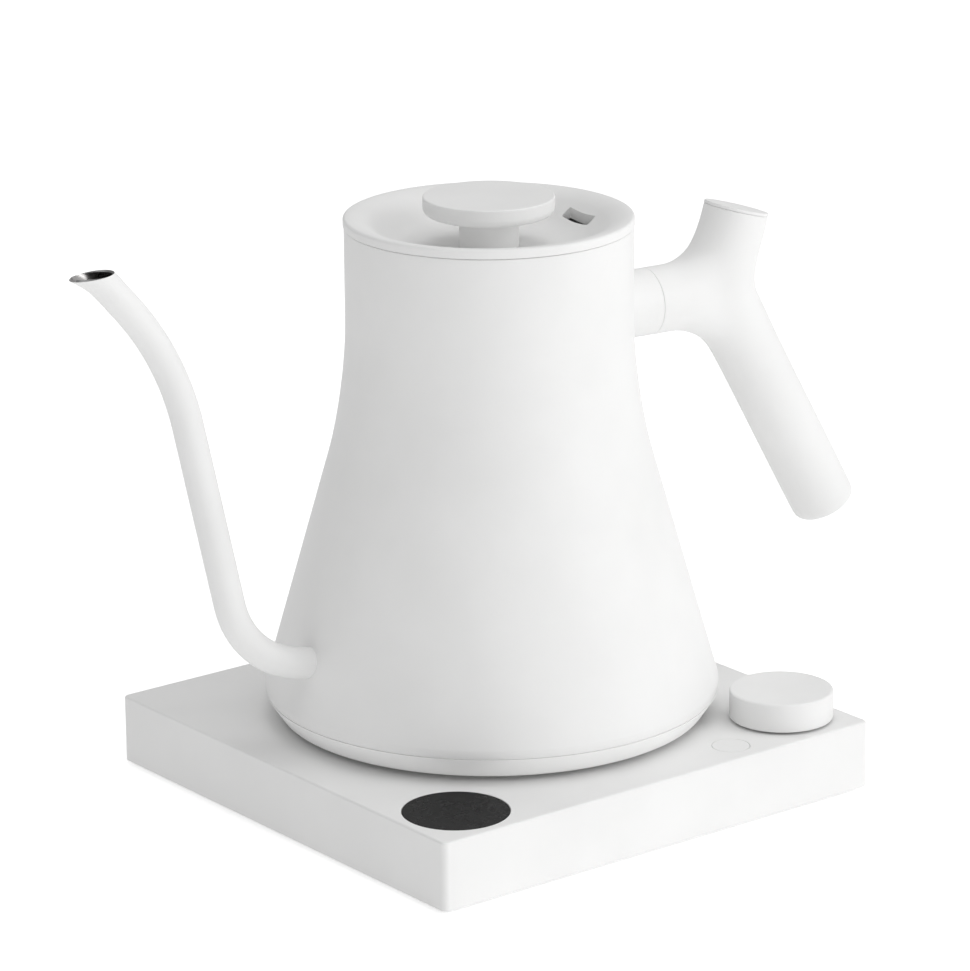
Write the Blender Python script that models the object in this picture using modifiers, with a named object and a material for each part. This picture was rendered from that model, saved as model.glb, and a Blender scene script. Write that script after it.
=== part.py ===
"""Electric gooseneck kettle standing on a square power base with a round display, a dial and a button.

Metres, +Z up. The origin is the centre of the base's underside. +X points to the handle's side, -Y to the
side with the controls. The kettle, its lid, the dial and the button hang from empties on their joint axes.
"""

import math

import bmesh
import bpy
from mathutils import Matrix, Vector

# ---------------------------------------------------------------- driving dimensions
GAP = 0.0003  # between pieces that touch
SMOOTH_STEPS = 36  # facets round a visible turned piece
HIDDEN_STEPS = 16  # facets round a hidden one

BASE_SIDE = 0.172
BASE_HEIGHT = 0.0223
BASE_CORNER_RADIUS = 0.002
BASE_EDGE_RADIUS = 0.0007
BASE_WALL = 0.0025
PAN_THICKNESS = 0.0034
FOOT_RADIUS = 0.008
FOOT_INSET = 0.0145  # foot centre from each side of the base
FOOT_STAND = 0.001  # how far a foot stands below the base
FOOT_SUNK = 0.0012

CONTROL_INSET = 0.0199  # display and dial centres from the front and the side
DISPLAY_RADIUS = 0.0166
DISPLAY_THICKNESS = 0.0019
DIAL_RADIUS = 0.0167
DIAL_HEIGHT = 0.0094
DIAL_CLEARANCE = 0.0008
DIAL_TRAVEL = 0.0005
BUTTON_RADIUS = 0.0059
BUTTON_RIGHT_INSET = 0.0494
BUTTON_FRONT_INSET = 0.0105
BUTTON_TRAVEL = 0.001

KETTLE_TURN = math.radians(-6)  # the kettle as it was put down on its round connector
KETTLE_STAND = 0.0016  # rim of the kettle's foot above the base
FOOT_BAND_HEIGHT = 0.0069
FOOT_BAND_TAPER = 0.0047
BODY_SEAM = 0.0005  # between the foot band and the body
BODY_HEIGHT = 0.1519  # from the body's lower edge to its mouth
BODY_NECK_RADIUS = 0.0456
BODY_HALF_ANGLE = math.radians(15.9)  # of the cone
BODY_SHOULDER_HEIGHT = 0.1064  # where the neck and the cone would meet in a corner
BODY_SHOULDER_RADIUS = 0.158  # of the hollow curve between cone and neck
BODY_WALL = 0.001
FLOOR_HEIGHT = 0.0123  # of the vessel's floor above the foot's rim
FLOOR_THICKNESS = 0.001

SPOUT_ROOT_HEIGHT = 0.0271
SPOUT_ROOT_RISE = 12  # degrees above level, at the root, along the rise, at the tip and at the lip
SPOUT_LEAN_RISE = 77.8
SPOUT_TIP_RISE = 49.6
SPOUT_LIP_RISE = 33
SPOUT_ROOT_STRAIGHT = 0.0035
SPOUT_LOW_BEND = 0.030
SPOUT_STRAIGHT = 0.0611
SPOUT_HIGH_BEND = 0.093
SPOUT_TIP_STRAIGHT = 0.009
SPOUT_LIP_BEND = 0.030
SPOUT_ROOT_RADIUS = 0.00505
SPOUT_TIP_RADIUS = 0.00485
SPOUT_WALL = 0.0008
SPOUT_CUT_HEIGHT = 0.1625  # of the mouth's middle
SPOUT_CUT_TILT = math.radians(4.9)  # the lip lower than the back of the mouth

ARM_BELOW_MOUTH = 0.0336
ARM_RADIUS = 0.01095
POST_LENGTH = 0.0139  # from the neck to where the grip starts
ARM_LENGTH = 0.0280  # from there to where arm, stub and leg meet
STUB_LENGTH = 0.0277
STUB_TILT = math.radians(15.5)
STUB_RADIUS = 0.0107
LEG_LENGTH = 0.0911
LEG_TILT = math.radians(28.9)
LEG_RADIUS = 0.0108
SPIGOT_RADIUS = 0.006
BOLT_RADIUS = 0.002
BOLT_HEAD_RADIUS = 0.0042
CAP_THICKNESS = 0.0009

LID_RIM_HEIGHT = 0.0028
LID_DISH_DEPTH = 0.0103
LID_WALL = 0.002
LID_SKIRT_DEPTH = 0.0102
VENT_INSET = 0.0123  # middle of the steam slot from the lid's edge
VENT_LENGTH = 0.0154
VENT_WIDTH = 0.0033
KNOB_RADIUS = 0.0208
KNOB_NECK_RADIUS = 0.0094
KNOB_TOP = 0.009  # above the lid's seam
SCREW_CLEARANCE = 0.0004

# ---------------------------------------------------------------- levels and places worked out from them
BASE_HALF = BASE_SIDE / 2
COVER_UNDERSIDE = BASE_HEIGHT - BASE_WALL
KETTLE_Z = BASE_HEIGHT + KETTLE_STAND  # the kettle's own zero, the rim of its foot
BODY_BOTTOM = FOOT_BAND_HEIGHT + BODY_SEAM
BODY_TOP = BODY_BOTTOM + BODY_HEIGHT


def cone_radius(z):
    """Outer radius of the vessel's cone at a height above the kettle's own zero."""
    return BODY_NECK_RADIUS + math.tan(BODY_HALF_ANGLE) * (BODY_SHOULDER_HEIGHT - z)


FOOT_BAND_TOP_RADIUS = cone_radius(BODY_BOTTOM) - 0.0007
FOOT_BAND_BOTTOM_RADIUS = FOOT_BAND_TOP_RADIUS - FOOT_BAND_TAPER
SPOUT_ROOT_REACH = cone_radius(SPOUT_ROOT_HEIGHT) + 0.0016
ARM_HEIGHT = BODY_TOP - ARM_BELOW_MOUTH
ARM_SEAM_REACH = BODY_NECK_RADIUS + POST_LENGTH
HANDLE_REACH = ARM_SEAM_REACH + ARM_LENGTH
LID_SEAM = BODY_TOP + GAP
LID_TOP = LID_SEAM + LID_RIM_HEIGHT
LID_RADIUS = BODY_NECK_RADIUS + GAP
VENT_REACH = LID_RADIUS - VENT_INSET
DISPLAY_XY = (CONTROL_INSET - BASE_HALF, CONTROL_INSET - BASE_HALF)
DIAL_XY = (BASE_HALF - CONTROL_INSET, CONTROL_INSET - BASE_HALF)
BUTTON_XY = (BASE_HALF - BUTTON_RIGHT_INSET, BUTTON_FRONT_INSET - BASE_HALF)

WHITE_PAINT = ((0.86, 0.86, 0.86), 0.55, 0.0)
WHITE_PLASTIC = ((0.84, 0.84, 0.84), 0.5, 0.0)
STEEL = ((0.62, 0.61, 0.6), 0.28, 1.0)
ALUMINIUM = ((0.75, 0.76, 0.78), 0.4, 1.0)
BRASS = ((0.8, 0.62, 0.3), 0.3, 1.0)
RUBBER = ((0.08, 0.08, 0.08), 0.8, 0.0)
SILICONE = ((0.75, 0.76, 0.77), 0.6, 0.0)
BLACK_GLASS = ((0.012, 0.012, 0.014), 0.12, 0.0)
BLACK_PLASTIC = ((0.05, 0.05, 0.055), 0.5, 0.0)
GREY_PLASTIC = ((0.35, 0.36, 0.37), 0.5, 0.0)
BOARD_GREEN = ((0.03, 0.2, 0.09), 0.5, 0.0)


# ---------------------------------------------------------------- scene and modelling helpers
def clear_scene():
    for obj in list(bpy.data.objects):
        bpy.data.objects.remove(obj, do_unlink=True)


def collection(name):
    made = bpy.data.collections.new(name)
    bpy.context.scene.collection.children.link(made)
    return made


def empty(name, location, parent=None, turn=0.0):
    made = bpy.data.objects.new(name, None)
    made.location = location
    made.rotation_euler.z = turn
    made.parent = parent
    PARTS.objects.link(made)
    return made


def part(name, mesh, look, parent=None):
    """A named piece with its own Principled material."""
    colour, roughness, metallic = look
    material = bpy.data.materials.new(name)
    material.use_nodes = True
    shader = material.node_tree.nodes["Principled BSDF"]
    shader.inputs["Base Color"].default_value = (*colour, 1)
    shader.inputs["Roughness"].default_value = roughness
    shader.inputs["Metallic"].default_value = metallic
    mesh.materials.append(material)
    made = bpy.data.objects.new(name, mesh)
    made.parent = parent
    PARTS.objects.link(made)
    return made


def helper(name, mesh, parent=None):
    """A cutter, or a shape that is joined to a piece."""
    made = bpy.data.objects.new(name, mesh)
    made.parent = parent
    made.hide_render = True
    made.display_type = "WIRE"
    CUTTERS.objects.link(made)
    return made


def boolean(obj, other, operation):
    modifier = obj.modifiers.new(f"{operation.title()} {other.name}", "BOOLEAN")
    modifier.operation = operation
    modifier.solver = "EXACT"
    modifier.object = other


def cut(obj, name, mesh):
    boolean(obj, helper(f"{obj.name}_{name}", mesh, obj.parent), "DIFFERENCE")


def join(obj, name, mesh):
    boolean(obj, helper(f"{obj.name}_{name}", mesh, obj.parent), "UNION")


def finished(bm, name):
    mesh = bpy.data.meshes.new(name)
    bm.to_mesh(mesh)
    bm.free()
    mesh.shade_smooth()
    mesh.set_sharp_from_angle(angle=math.radians(35))
    return mesh


def box(low, high, round_by=0.0):
    """A block between two corners, its upright edges rounded."""
    bm = bmesh.new()
    size = Vector(high) - Vector(low)
    middle = (Vector(high) + Vector(low)) / 2
    bmesh.ops.create_cube(bm, size=1, matrix=Matrix.Translation(middle) @ Matrix.Diagonal((*size, 1)))
    if round_by:
        upright = [e for e in bm.edges if abs(e.verts[0].co.z - e.verts[1].co.z) > size.z / 2]
        bmesh.ops.bevel(bm, geom=upright, offset=round_by, segments=4, profile=0.5, affect="EDGES", material=-1)
    return finished(bm, "box")


def rod(radius, start, end, steps=HIDDEN_STEPS, end_radius=None):
    """A cylinder, or a cone, between two points."""
    bm = bmesh.new()
    start, end = Vector(start), Vector(end)
    along = end - start
    turn = along.to_track_quat("Z", "Y").to_matrix().to_4x4()
    bmesh.ops.create_cone(
        bm,
        cap_ends=True,
        segments=steps,
        radius1=radius,
        radius2=radius if end_radius is None else end_radius,
        depth=along.length,
        matrix=Matrix.Translation((start + end) / 2) @ turn,
    )
    return finished(bm, "rod")


def upright_rod(radius, low, high, at=(0, 0), steps=HIDDEN_STEPS):
    return rod(radius, (*at, low), (*at, high), steps)


def outline_mesh(points, closed):
    bm = bmesh.new()
    verts = [bm.verts.new((x, 0, z)) for x, z in points]
    for a, b in zip(verts, verts[1:]):
        bm.edges.new((a, b))
    if closed:
        bm.edges.new((verts[-1], verts[0]))
    mesh = bpy.data.meshes.new("outline")
    bm.to_mesh(mesh)
    bm.free()
    return mesh


def turn_round(obj, at, steps):
    """Turns an outline in X and Z round its own upright axis."""
    obj.location = (*at, 0)
    screw = obj.modifiers.new("Turn", "SCREW")
    screw.angle = math.tau
    screw.steps = steps
    screw.render_steps = steps
    screw.use_merge_vertices = True
    screw.merge_threshold = 0.00001
    screw.use_smooth_shade = True
    return obj


def turned(name, outline, look, parent=None, at=(0, 0), steps=HIDDEN_STEPS, closed=True):
    """A turned piece: the outline runs out along its top, down its outer side and back along its underside."""
    return turn_round(part(name, outline_mesh(outline, closed), look, parent), at, steps)


def turned_cutter(obj, name, outline, at=(0, 0), steps=HIDDEN_STEPS):
    other = helper(f"{obj.name}_{name}", outline_mesh(outline, False), obj.parent)
    boolean(obj, turn_round(other, at, steps), "DIFFERENCE")


def arc(centre, radius, start, end, count):
    """Points along an arc in X and Z, its angles in degrees from +X towards +Z."""
    angles = [math.radians(start + (end - start) * i / count) for i in range(count + 1)]
    return [(centre[0] + radius * math.cos(a), centre[1] + radius * math.sin(a)) for a in angles]


def screw_part(name, at, head_low, head_height, tip, head_radius, shank_radius, parent=None):
    """A pan-head screw driven upwards: its head at the bottom, its shank above."""
    head_top = head_low + head_height
    outline = [(0, tip), (shank_radius, tip), (shank_radius, head_top), (head_radius, head_top)]
    outline += [(head_radius, head_low), (0, head_low)]
    return turned(name, outline, STEEL, parent, at, 12, closed=False)


# ---------------------------------------------------------------- the base
PAN_SCREW_XY = [(sx * (BASE_HALF - 0.0115), y) for sx in (-1, 1) for y in (-0.038, 0.050)]
PAN_SCREW_HEAD = 0.0028
PAN_SCREW_SHANK = 0.0013
BOARD_Z = 0.0090
BOARD_THICKNESS = 0.0016
BOARD_TOP = BOARD_Z + BOARD_THICKNESS
BOARD_SCREW_HEAD = 0.0024
BOARD_SCREW_SHANK = 0.0011
CONTROL_BOARD_LOW = (-BASE_HALF + 0.0050, -BASE_HALF + 0.0040)
CONTROL_BOARD_HIGH = (BASE_HALF - 0.0050, -0.0480)
CONTROL_BOARD_SCREW_XY = [(-0.0300, -0.0530), (0.0120, -0.0530)]
POWER_BOARD_LOW = (-0.0660, 0.0240)
POWER_BOARD_HIGH = (0.0400, 0.0700)
POWER_BOARD_SCREW_XY = [
    (x, y)
    for x in (POWER_BOARD_LOW[0] + 0.0045, POWER_BOARD_HIGH[0] - 0.0045)
    for y in (POWER_BOARD_LOW[1] + 0.0045, POWER_BOARD_HIGH[1] - 0.0045)
]
CONNECTOR_RADIUS = 0.0150
CONNECTOR_HEIGHT = 0.0070
CONNECTOR_FLANGE = 0.0200
CONNECTOR_RECESS = 0.0046
GROOVE_INNER = 0.0080
GROOVE_OUTER = 0.0105
POWER_PIN_RADIUS = 0.0013
DISPLAY_LEDGE = 0.0150
DIAL_SHAFT_RADIUS = 0.0030
ENCODER_SIDE = 0.0125
ENCODER_TOP = BOARD_TOP + GAP + 0.0070
ENCODER_WELL = 0.0052
BUTTON_FLANGE = 0.0071
PLUNGER_RADIUS = 0.0015
SWITCH_TOP = BOARD_TOP + GAP + 0.0036
CORD_HOLE = 0.0036
CORD_GLAND_RADIUS = 0.0055
CORD_GLAND_Z = 0.0120
CORD_X = 0.0560


def make_base_cover():
    bm = bmesh.new()
    size = Matrix.Diagonal((BASE_SIDE, BASE_SIDE, BASE_HEIGHT, 1))
    bmesh.ops.create_cube(bm, size=1, matrix=Matrix.Translation((0, 0, BASE_HEIGHT / 2)) @ size)
    upright = [e for e in bm.edges if abs(e.verts[0].co.z - e.verts[1].co.z) > BASE_HEIGHT / 2]
    rounding = {"profile": 0.5, "affect": "EDGES", "material": -1}
    bmesh.ops.bevel(bm, geom=upright, offset=BASE_CORNER_RADIUS, segments=4, **rounding)
    rim = [e for e in bm.edges if all(v.co.z > BASE_HEIGHT - GAP for v in e.verts)]
    bmesh.ops.bevel(bm, geom=rim, offset=BASE_EDGE_RADIUS, segments=2, **rounding)
    cover = part("base_cover", finished(bm, "base_cover"), WHITE_PLASTIC)
    inner = BASE_HALF - BASE_WALL
    cut(cover, "inside", box((-inner, -inner, -0.01), (inner, inner, COVER_UNDERSIDE)))
    for n, at in enumerate(PAN_SCREW_XY):
        boss = upright_rod(0.0042, PAN_THICKNESS + GAP, COVER_UNDERSIDE + BASE_WALL / 2, at)
        join(cover, f"boss_{n}", boss)
    for n, at in enumerate(PAN_SCREW_XY):
        hole = upright_rod(PAN_SCREW_SHANK + SCREW_CLEARANCE, 0, COVER_UNDERSIDE - 0.002, at, 12)
        cut(cover, f"pilot_{n}", hole)
    above = BASE_HEIGHT + 0.002
    below = COVER_UNDERSIDE - 0.002
    lens_floor = BASE_HEIGHT - DISPLAY_THICKNESS - GAP
    cut(cover, "lens_seat", upright_rod(DISPLAY_RADIUS + GAP, lens_floor, above, DISPLAY_XY, SMOOTH_STEPS))
    cut(cover, "lens_window", upright_rod(DISPLAY_LEDGE, below, above, DISPLAY_XY, SMOOTH_STEPS))
    cut(cover, "shaft_hole", upright_rod(DIAL_SHAFT_RADIUS + 2 * GAP, below, above, DIAL_XY))
    cut(cover, "button_hole", upright_rod(BUTTON_RADIUS + GAP, below, above, BUTTON_XY, SMOOTH_STEPS))
    cut(cover, "connector_hole", upright_rod(CONNECTOR_RADIUS + 2 * GAP, below, above, steps=SMOOTH_STEPS))
    start = (CORD_X, BASE_HALF - 0.01, CORD_GLAND_Z)
    end = (CORD_X, BASE_HALF + 0.01, CORD_GLAND_Z)
    cut(cover, "cord_hole", rod(CORD_GLAND_RADIUS + GAP, start, end))


def make_base_pan():
    inner = BASE_HALF - BASE_WALL - GAP
    pan = part("base_pan", box((-inner, -inner, 0), (inner, inner, PAN_THICKNESS)), GREY_PLASTIC)
    posts = CONTROL_BOARD_SCREW_XY + POWER_BOARD_SCREW_XY
    for n, at in enumerate(posts):
        join(pan, f"post_{n}", upright_rod(0.0028, PAN_THICKNESS / 2, BOARD_Z - GAP, at, 16))
    for n, at in enumerate(posts):
        hole = upright_rod(BOARD_SCREW_SHANK + SCREW_CLEARANCE, 0.002, 0.012, at, 12)
        cut(pan, f"post_hole_{n}", hole)
    for n, at in enumerate(PAN_SCREW_XY):
        cut(pan, f"head_recess_{n}", upright_rod(PAN_SCREW_HEAD + GAP, -0.01, 0.0022, at, 16))
        cut(pan, f"screw_hole_{n}", upright_rod(PAN_SCREW_SHANK + SCREW_CLEARANCE, -0.01, 0.01, at, 12))
    for n, at in enumerate(foot_places()):
        cut(pan, f"foot_recess_{n}", upright_rod(FOOT_RADIUS + GAP, -0.01, FOOT_SUNK + GAP, at))


def foot_places():
    place = BASE_HALF - FOOT_INSET
    return [(sx * place, sy * place) for sy in (-1, 1) for sx in (-1, 1)]


def make_feet():
    names = ("front_left", "front_right", "rear_left", "rear_right")
    for name, at in zip(names, foot_places()):
        top, low, edge = FOOT_SUNK, -FOOT_STAND, 0.0005
        outline = [(0, top), (FOOT_RADIUS, top), (FOOT_RADIUS, low + edge), (FOOT_RADIUS - edge, low), (0, low)]
        turned(f"rubber_foot_{name}", outline, RUBBER, at=at, closed=False)
    for n, at in enumerate(PAN_SCREW_XY, 1):
        screw_part(f"pan_screw_{n}", at, 0.0003, 0.0016, 0.0120, PAN_SCREW_HEAD, PAN_SCREW_SHANK)


def make_power_connector():
    """The round plug of the base, which the kettle's socket drops over at any angle."""
    top = BASE_HEIGHT + CONNECTOR_HEIGHT
    flange_top = COVER_UNDERSIDE - GAP
    well = BASE_HEIGHT + 0.002
    bottom = BOARD_TOP + 0.003
    outline = [(CONNECTOR_RECESS, top), (GROOVE_INNER, top), (GROOVE_INNER, well), (GROOVE_OUTER, well)]
    outline += [(GROOVE_OUTER, top), *arc((CONNECTOR_RADIUS - 0.001, top - 0.001), 0.001, 90, 0, 3)]
    outline += [(CONNECTOR_RADIUS, flange_top), (CONNECTOR_FLANGE, flange_top)]
    outline += [(CONNECTOR_FLANGE, flange_top - 0.002), (CONNECTOR_RADIUS, flange_top - 0.002)]
    pin_hole = POWER_PIN_RADIUS + GAP
    outline += [(CONNECTOR_RADIUS, bottom), (pin_hole, bottom), (pin_hole, well), (CONNECTOR_RECESS, well)]
    turned("power_connector", outline, BLACK_PLASTIC, steps=32)
    pin_top = top - 0.0006
    outline = [(0, pin_top), (POWER_PIN_RADIUS - 0.0004, pin_top), (POWER_PIN_RADIUS, pin_top - 0.0005)]
    outline += [(POWER_PIN_RADIUS, bottom - 0.001), (0, bottom - 0.001)]
    turned("power_connector_pin", outline, BRASS, steps=12, closed=False)


def make_display():
    top, low = BASE_HEIGHT, BASE_HEIGHT - DISPLAY_THICKNESS
    edge = 0.0002
    outline = [(0, top), (DISPLAY_RADIUS - edge, top), (DISPLAY_RADIUS, top - edge), (DISPLAY_RADIUS, low), (0, low)]
    turned("display_lens", outline, BLACK_GLASS, at=DISPLAY_XY, steps=SMOOTH_STEPS, closed=False)
    x, y = DISPLAY_XY
    half = 0.0125
    low, high = BOARD_TOP + GAP, COVER_UNDERSIDE - GAP
    part("display_panel", box((x - half, y - half, low), (x + half, y + half, high)), BLACK_PLASTIC)


def make_dial():
    """Rotary encoder on the control board, and the dial and shaft that turn its rotor and press down in it."""
    x, y = DIAL_XY
    half = ENCODER_SIDE / 2
    low = BOARD_TOP + GAP
    floor = low + 0.0012
    encoder = part("encoder_body", box((x - half, y - half, low), (x + half, y + half, ENCODER_TOP)), ALUMINIUM)
    cut(encoder, "well", upright_rod(ENCODER_WELL, floor, ENCODER_TOP + 0.005, DIAL_XY))

    rotor_axis = empty("encoder_rotor_axis", (x, y, 0))
    inner, outer = DIAL_SHAFT_RADIUS + GAP, ENCODER_WELL - GAP
    high, rotor_low = ENCODER_TOP - 0.0005, floor + GAP
    outline = [(inner, high), (outer, high), (outer, rotor_low), (inner, rotor_low)]
    turned("encoder_rotor", outline, GREY_PLASTIC, rotor_axis)

    dial_axis = empty("dial_axis", (0, 0, 0), rotor_axis)
    dial_low = BASE_HEIGHT + DIAL_CLEARANCE
    dial_top = dial_low + DIAL_HEIGHT
    shaft_top = dial_top - 0.0022
    shaft_low = floor + DIAL_TRAVEL + GAP
    outline = [(0, shaft_top), (DIAL_SHAFT_RADIUS - 0.0004, shaft_top), (DIAL_SHAFT_RADIUS, shaft_top - 0.0004)]
    outline += [(DIAL_SHAFT_RADIUS, shaft_low), (0, shaft_low)]
    turned("dial_shaft", outline, STEEL, dial_axis, closed=False)
    edge, bore, bore_top = 0.0008, DIAL_SHAFT_RADIUS + GAP, shaft_top + GAP
    dish = 0.0004
    outline = [(0, dial_top - dish), (DIAL_RADIUS * 0.6, dial_top - 0.7 * dish)]
    outline += arc((DIAL_RADIUS - edge, dial_top - edge), edge, 90, 0, 3)
    outline += [(DIAL_RADIUS, dial_low + 0.0004), (DIAL_RADIUS - 0.0004, dial_low)]
    outline += [(bore, dial_low), (bore, bore_top), (0, bore_top)]
    turned("control_dial", outline, WHITE_PLASTIC, dial_axis, steps=SMOOTH_STEPS, closed=False)


def make_button():
    """Flush power button: a flanged cap held under the cover, over a small switch on the control board."""
    axis = empty("button_axis", (*BUTTON_XY, 0))
    x, y = BUTTON_XY
    low = BOARD_TOP + GAP
    flange_top = COVER_UNDERSIDE - GAP
    plunger_top = SWITCH_TOP + BUTTON_TRAVEL + 0.0006
    edge = 0.0003
    outline = [(0, BASE_HEIGHT), (BUTTON_RADIUS - edge, BASE_HEIGHT), (BUTTON_RADIUS, BASE_HEIGHT - edge)]
    outline += [(BUTTON_RADIUS, flange_top), (BUTTON_FLANGE, flange_top), (BUTTON_FLANGE, flange_top - 0.0009)]
    outline += [(PLUNGER_RADIUS, flange_top - 0.0009), (PLUNGER_RADIUS, plunger_top + GAP), (0, plunger_top + GAP)]
    turned("power_button", outline, WHITE_PLASTIC, axis, steps=SMOOTH_STEPS, closed=False)
    plunger_low = low + 0.0006 + BUTTON_TRAVEL
    outline = [(0, plunger_top), (PLUNGER_RADIUS, plunger_top), (PLUNGER_RADIUS, plunger_low), (0, plunger_low)]
    turned("switch_plunger", outline, BLACK_PLASTIC, axis, steps=16, closed=False)
    half = 0.003
    switch = part("button_switch", box((x - half, y - half, low), (x + half, y + half, SWITCH_TOP)), GREY_PLASTIC)
    cut(switch, "well", upright_rod(PLUNGER_RADIUS + GAP, low + GAP, SWITCH_TOP + 0.005, BUTTON_XY, 16))


def make_boards():
    control = box((*CONTROL_BOARD_LOW, BOARD_Z), (*CONTROL_BOARD_HIGH, BOARD_TOP))
    power = box((*POWER_BOARD_LOW, BOARD_Z), (*POWER_BOARD_HIGH, BOARD_TOP))
    screws = {"control_board": CONTROL_BOARD_SCREW_XY, "power_board": POWER_BOARD_SCREW_XY}
    for name, mesh in (("control_board", control), ("power_board", power)):
        board = part(name, mesh, BOARD_GREEN)
        for n, at in enumerate(screws[name], 1):
            hole = upright_rod(BOARD_SCREW_SHANK + SCREW_CLEARANCE, BOARD_Z - 0.002, BOARD_TOP + 0.002, at, 12)
            cut(board, f"hole_{n}", hole)
            head_low, head_high = BOARD_TOP + GAP, BOARD_TOP + GAP + 0.0015
            outline = [(0, head_high), (BOARD_SCREW_HEAD, head_high), (BOARD_SCREW_HEAD, head_low)]
            outline += [(BOARD_SCREW_SHANK, head_low), (BOARD_SCREW_SHANK, 0.0036), (0, 0.0036)]
            turned(f"{name}_screw_{n}", outline, STEEL, at=at, steps=12, closed=False)


def make_power_parts():
    low = BOARD_TOP + GAP
    headroom = COVER_UNDERSIDE - low
    blocks = {
        "power_relay": ((-0.0545, 0.0400), (0.0200, 0.0155, 0.92 * headroom), BLACK_PLASTIC),
        "power_supply_module": ((-0.0290, 0.0340), (0.0300, 0.0260, 0.86 * headroom), BLACK_PLASTIC),
        "filter_capacitor": ((0.0060, 0.0400), (0.0180, 0.0085, 0.90 * headroom), GREY_PLASTIC),
    }
    for name, ((x, y), (length, width, height), look) in blocks.items():
        part(name, box((x, y, low), (x + length, y + width, low + height), 0.0008), look)
    high = low + 0.55 * headroom
    outline = [(0, high), (0.006, high), (0.006, low), (0, low)]
    turned("buzzer", outline, BLACK_PLASTIC, at=(-0.010, -0.0660), closed=False)
    gland_start = BASE_HALF - BASE_WALL - 0.005
    wall_inside = BASE_HALF - BASE_WALL - GAP
    gland = part(
        "cord_inlet",
        rod(CORD_GLAND_RADIUS, (CORD_X, gland_start, CORD_GLAND_Z), (CORD_X, BASE_HALF, CORD_GLAND_Z)),
        BLACK_PLASTIC,
    )
    flange = rod(0.0072, (CORD_X, wall_inside - 0.0015, CORD_GLAND_Z), (CORD_X, wall_inside, CORD_GLAND_Z))
    join(gland, "flange", flange)
    start, end = (CORD_X, gland_start - 0.01, CORD_GLAND_Z), (CORD_X, BASE_HALF + 0.01, CORD_GLAND_Z)
    cut(gland, "bore", rod(CORD_HOLE, start, end))


# ---------------------------------------------------------------- the kettle
def body_outline(offset=0.0, low=BODY_BOTTOM, segments=8):
    """Side of the vessel from its mouth down, moved outwards by offset: neck, one hollow arc, cone."""
    tangent = BODY_SHOULDER_RADIUS * math.tan(BODY_HALF_ANGLE / 2)
    centre = (BODY_NECK_RADIUS + BODY_SHOULDER_RADIUS, BODY_SHOULDER_HEIGHT + tangent)
    points = [(BODY_NECK_RADIUS + offset, BODY_TOP)]
    points += arc(centre, BODY_SHOULDER_RADIUS - offset, 180, 180 + math.degrees(BODY_HALF_ANGLE), segments)
    points.append((cone_radius(low) + offset / math.cos(BODY_HALF_ANGLE), low))
    return points


def cut_by_vessel(obj):
    """Trims a piece that butts on the vessel to the vessel's side, a gap away."""
    outline = [(0, BODY_TOP), *body_outline(2 * GAP), (0, BODY_BOTTOM)]
    turned_cutter(obj, "vessel_side", outline, steps=2 * SMOOTH_STEPS)


def make_body(kettle):
    edge = 0.0007
    outer = body_outline(low=BODY_BOTTOM + edge)
    outer.append((outer[-1][0] - edge, BODY_BOTTOM))
    inner = body_outline(-BODY_WALL)
    body = turned("kettle_body", outer + inner[::-1], WHITE_PAINT, kettle, steps=SMOOTH_STEPS)
    root = spout_root()
    along = spout_direction(SPOUT_ROOT_RISE)
    hole = rod(SPOUT_ROOT_RADIUS - SPOUT_WALL, root - 0.012 * along, root + 0.01 * along, 16)
    cut(body, "spout_hole", hole)


def spout_direction(rise):
    angle = math.radians(rise)
    return Vector((-math.cos(angle), 0, math.sin(angle)))


def spout_root():
    return Vector((-SPOUT_ROOT_REACH, 0, SPOUT_ROOT_HEIGHT))


def spout_points():
    """The spout's middle line: straight runs joined by arcs, from inside the vessel's wall to past the lip."""
    runs = [
        ("straight", 0.006 + SPOUT_ROOT_STRAIGHT, 2),
        ("bend", SPOUT_LOW_BEND, SPOUT_LEAN_RISE, 9),
        ("straight", SPOUT_STRAIGHT, 2),
        ("bend", SPOUT_HIGH_BEND, SPOUT_TIP_RISE, 5),
        ("straight", SPOUT_TIP_STRAIGHT, 1),
        ("bend", SPOUT_LIP_BEND, SPOUT_LIP_RISE, 3),
        ("straight", 0.008, 1),
    ]
    rise = SPOUT_ROOT_RISE
    at = spout_root() - 0.006 * spout_direction(rise)
    points = [at]
    for kind, size, *rest in runs:
        if kind == "straight":
            step, turns = size / rest[0], [0] * rest[0]
        else:
            turn = (rest[0] - rise) / rest[1]
            step, turns = 2 * size * math.sin(math.radians(abs(turn)) / 2), [turn] * rest[1]
        for turn in turns:
            at = at + step * spout_direction(rise + turn / 2)
            rise += turn
            points.append(at)
    return points


def spout_mouth():
    """The middle of the mouth, where the spout's middle line passes the height of the cut."""
    points = spout_points()
    for a, b in zip(points, points[1:]):
        if a.z <= SPOUT_CUT_HEIGHT < b.z:
            return a.lerp(b, (SPOUT_CUT_HEIGHT - a.z) / (b.z - a.z))


def tube_mesh(points, start_radius, end_radius):
    """The open skin of a tapering tube along points."""
    curve = bpy.data.curves.new("tube", "CURVE")
    curve.dimensions = "3D"
    curve.bevel_depth = 1.0
    curve.bevel_resolution = 4
    spline = curve.splines.new("POLY")
    spline.points.add(len(points) - 1)
    lengths = [0.0]
    for a, b in zip(points, points[1:]):
        lengths.append(lengths[-1] + (b - a).length)
    for point, at, along in zip(spline.points, points, lengths):
        point.co = (*at, 1)
        point.radius = start_radius + (end_radius - start_radius) * along / lengths[-1]
    return mesh_of_curve(curve)


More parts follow.
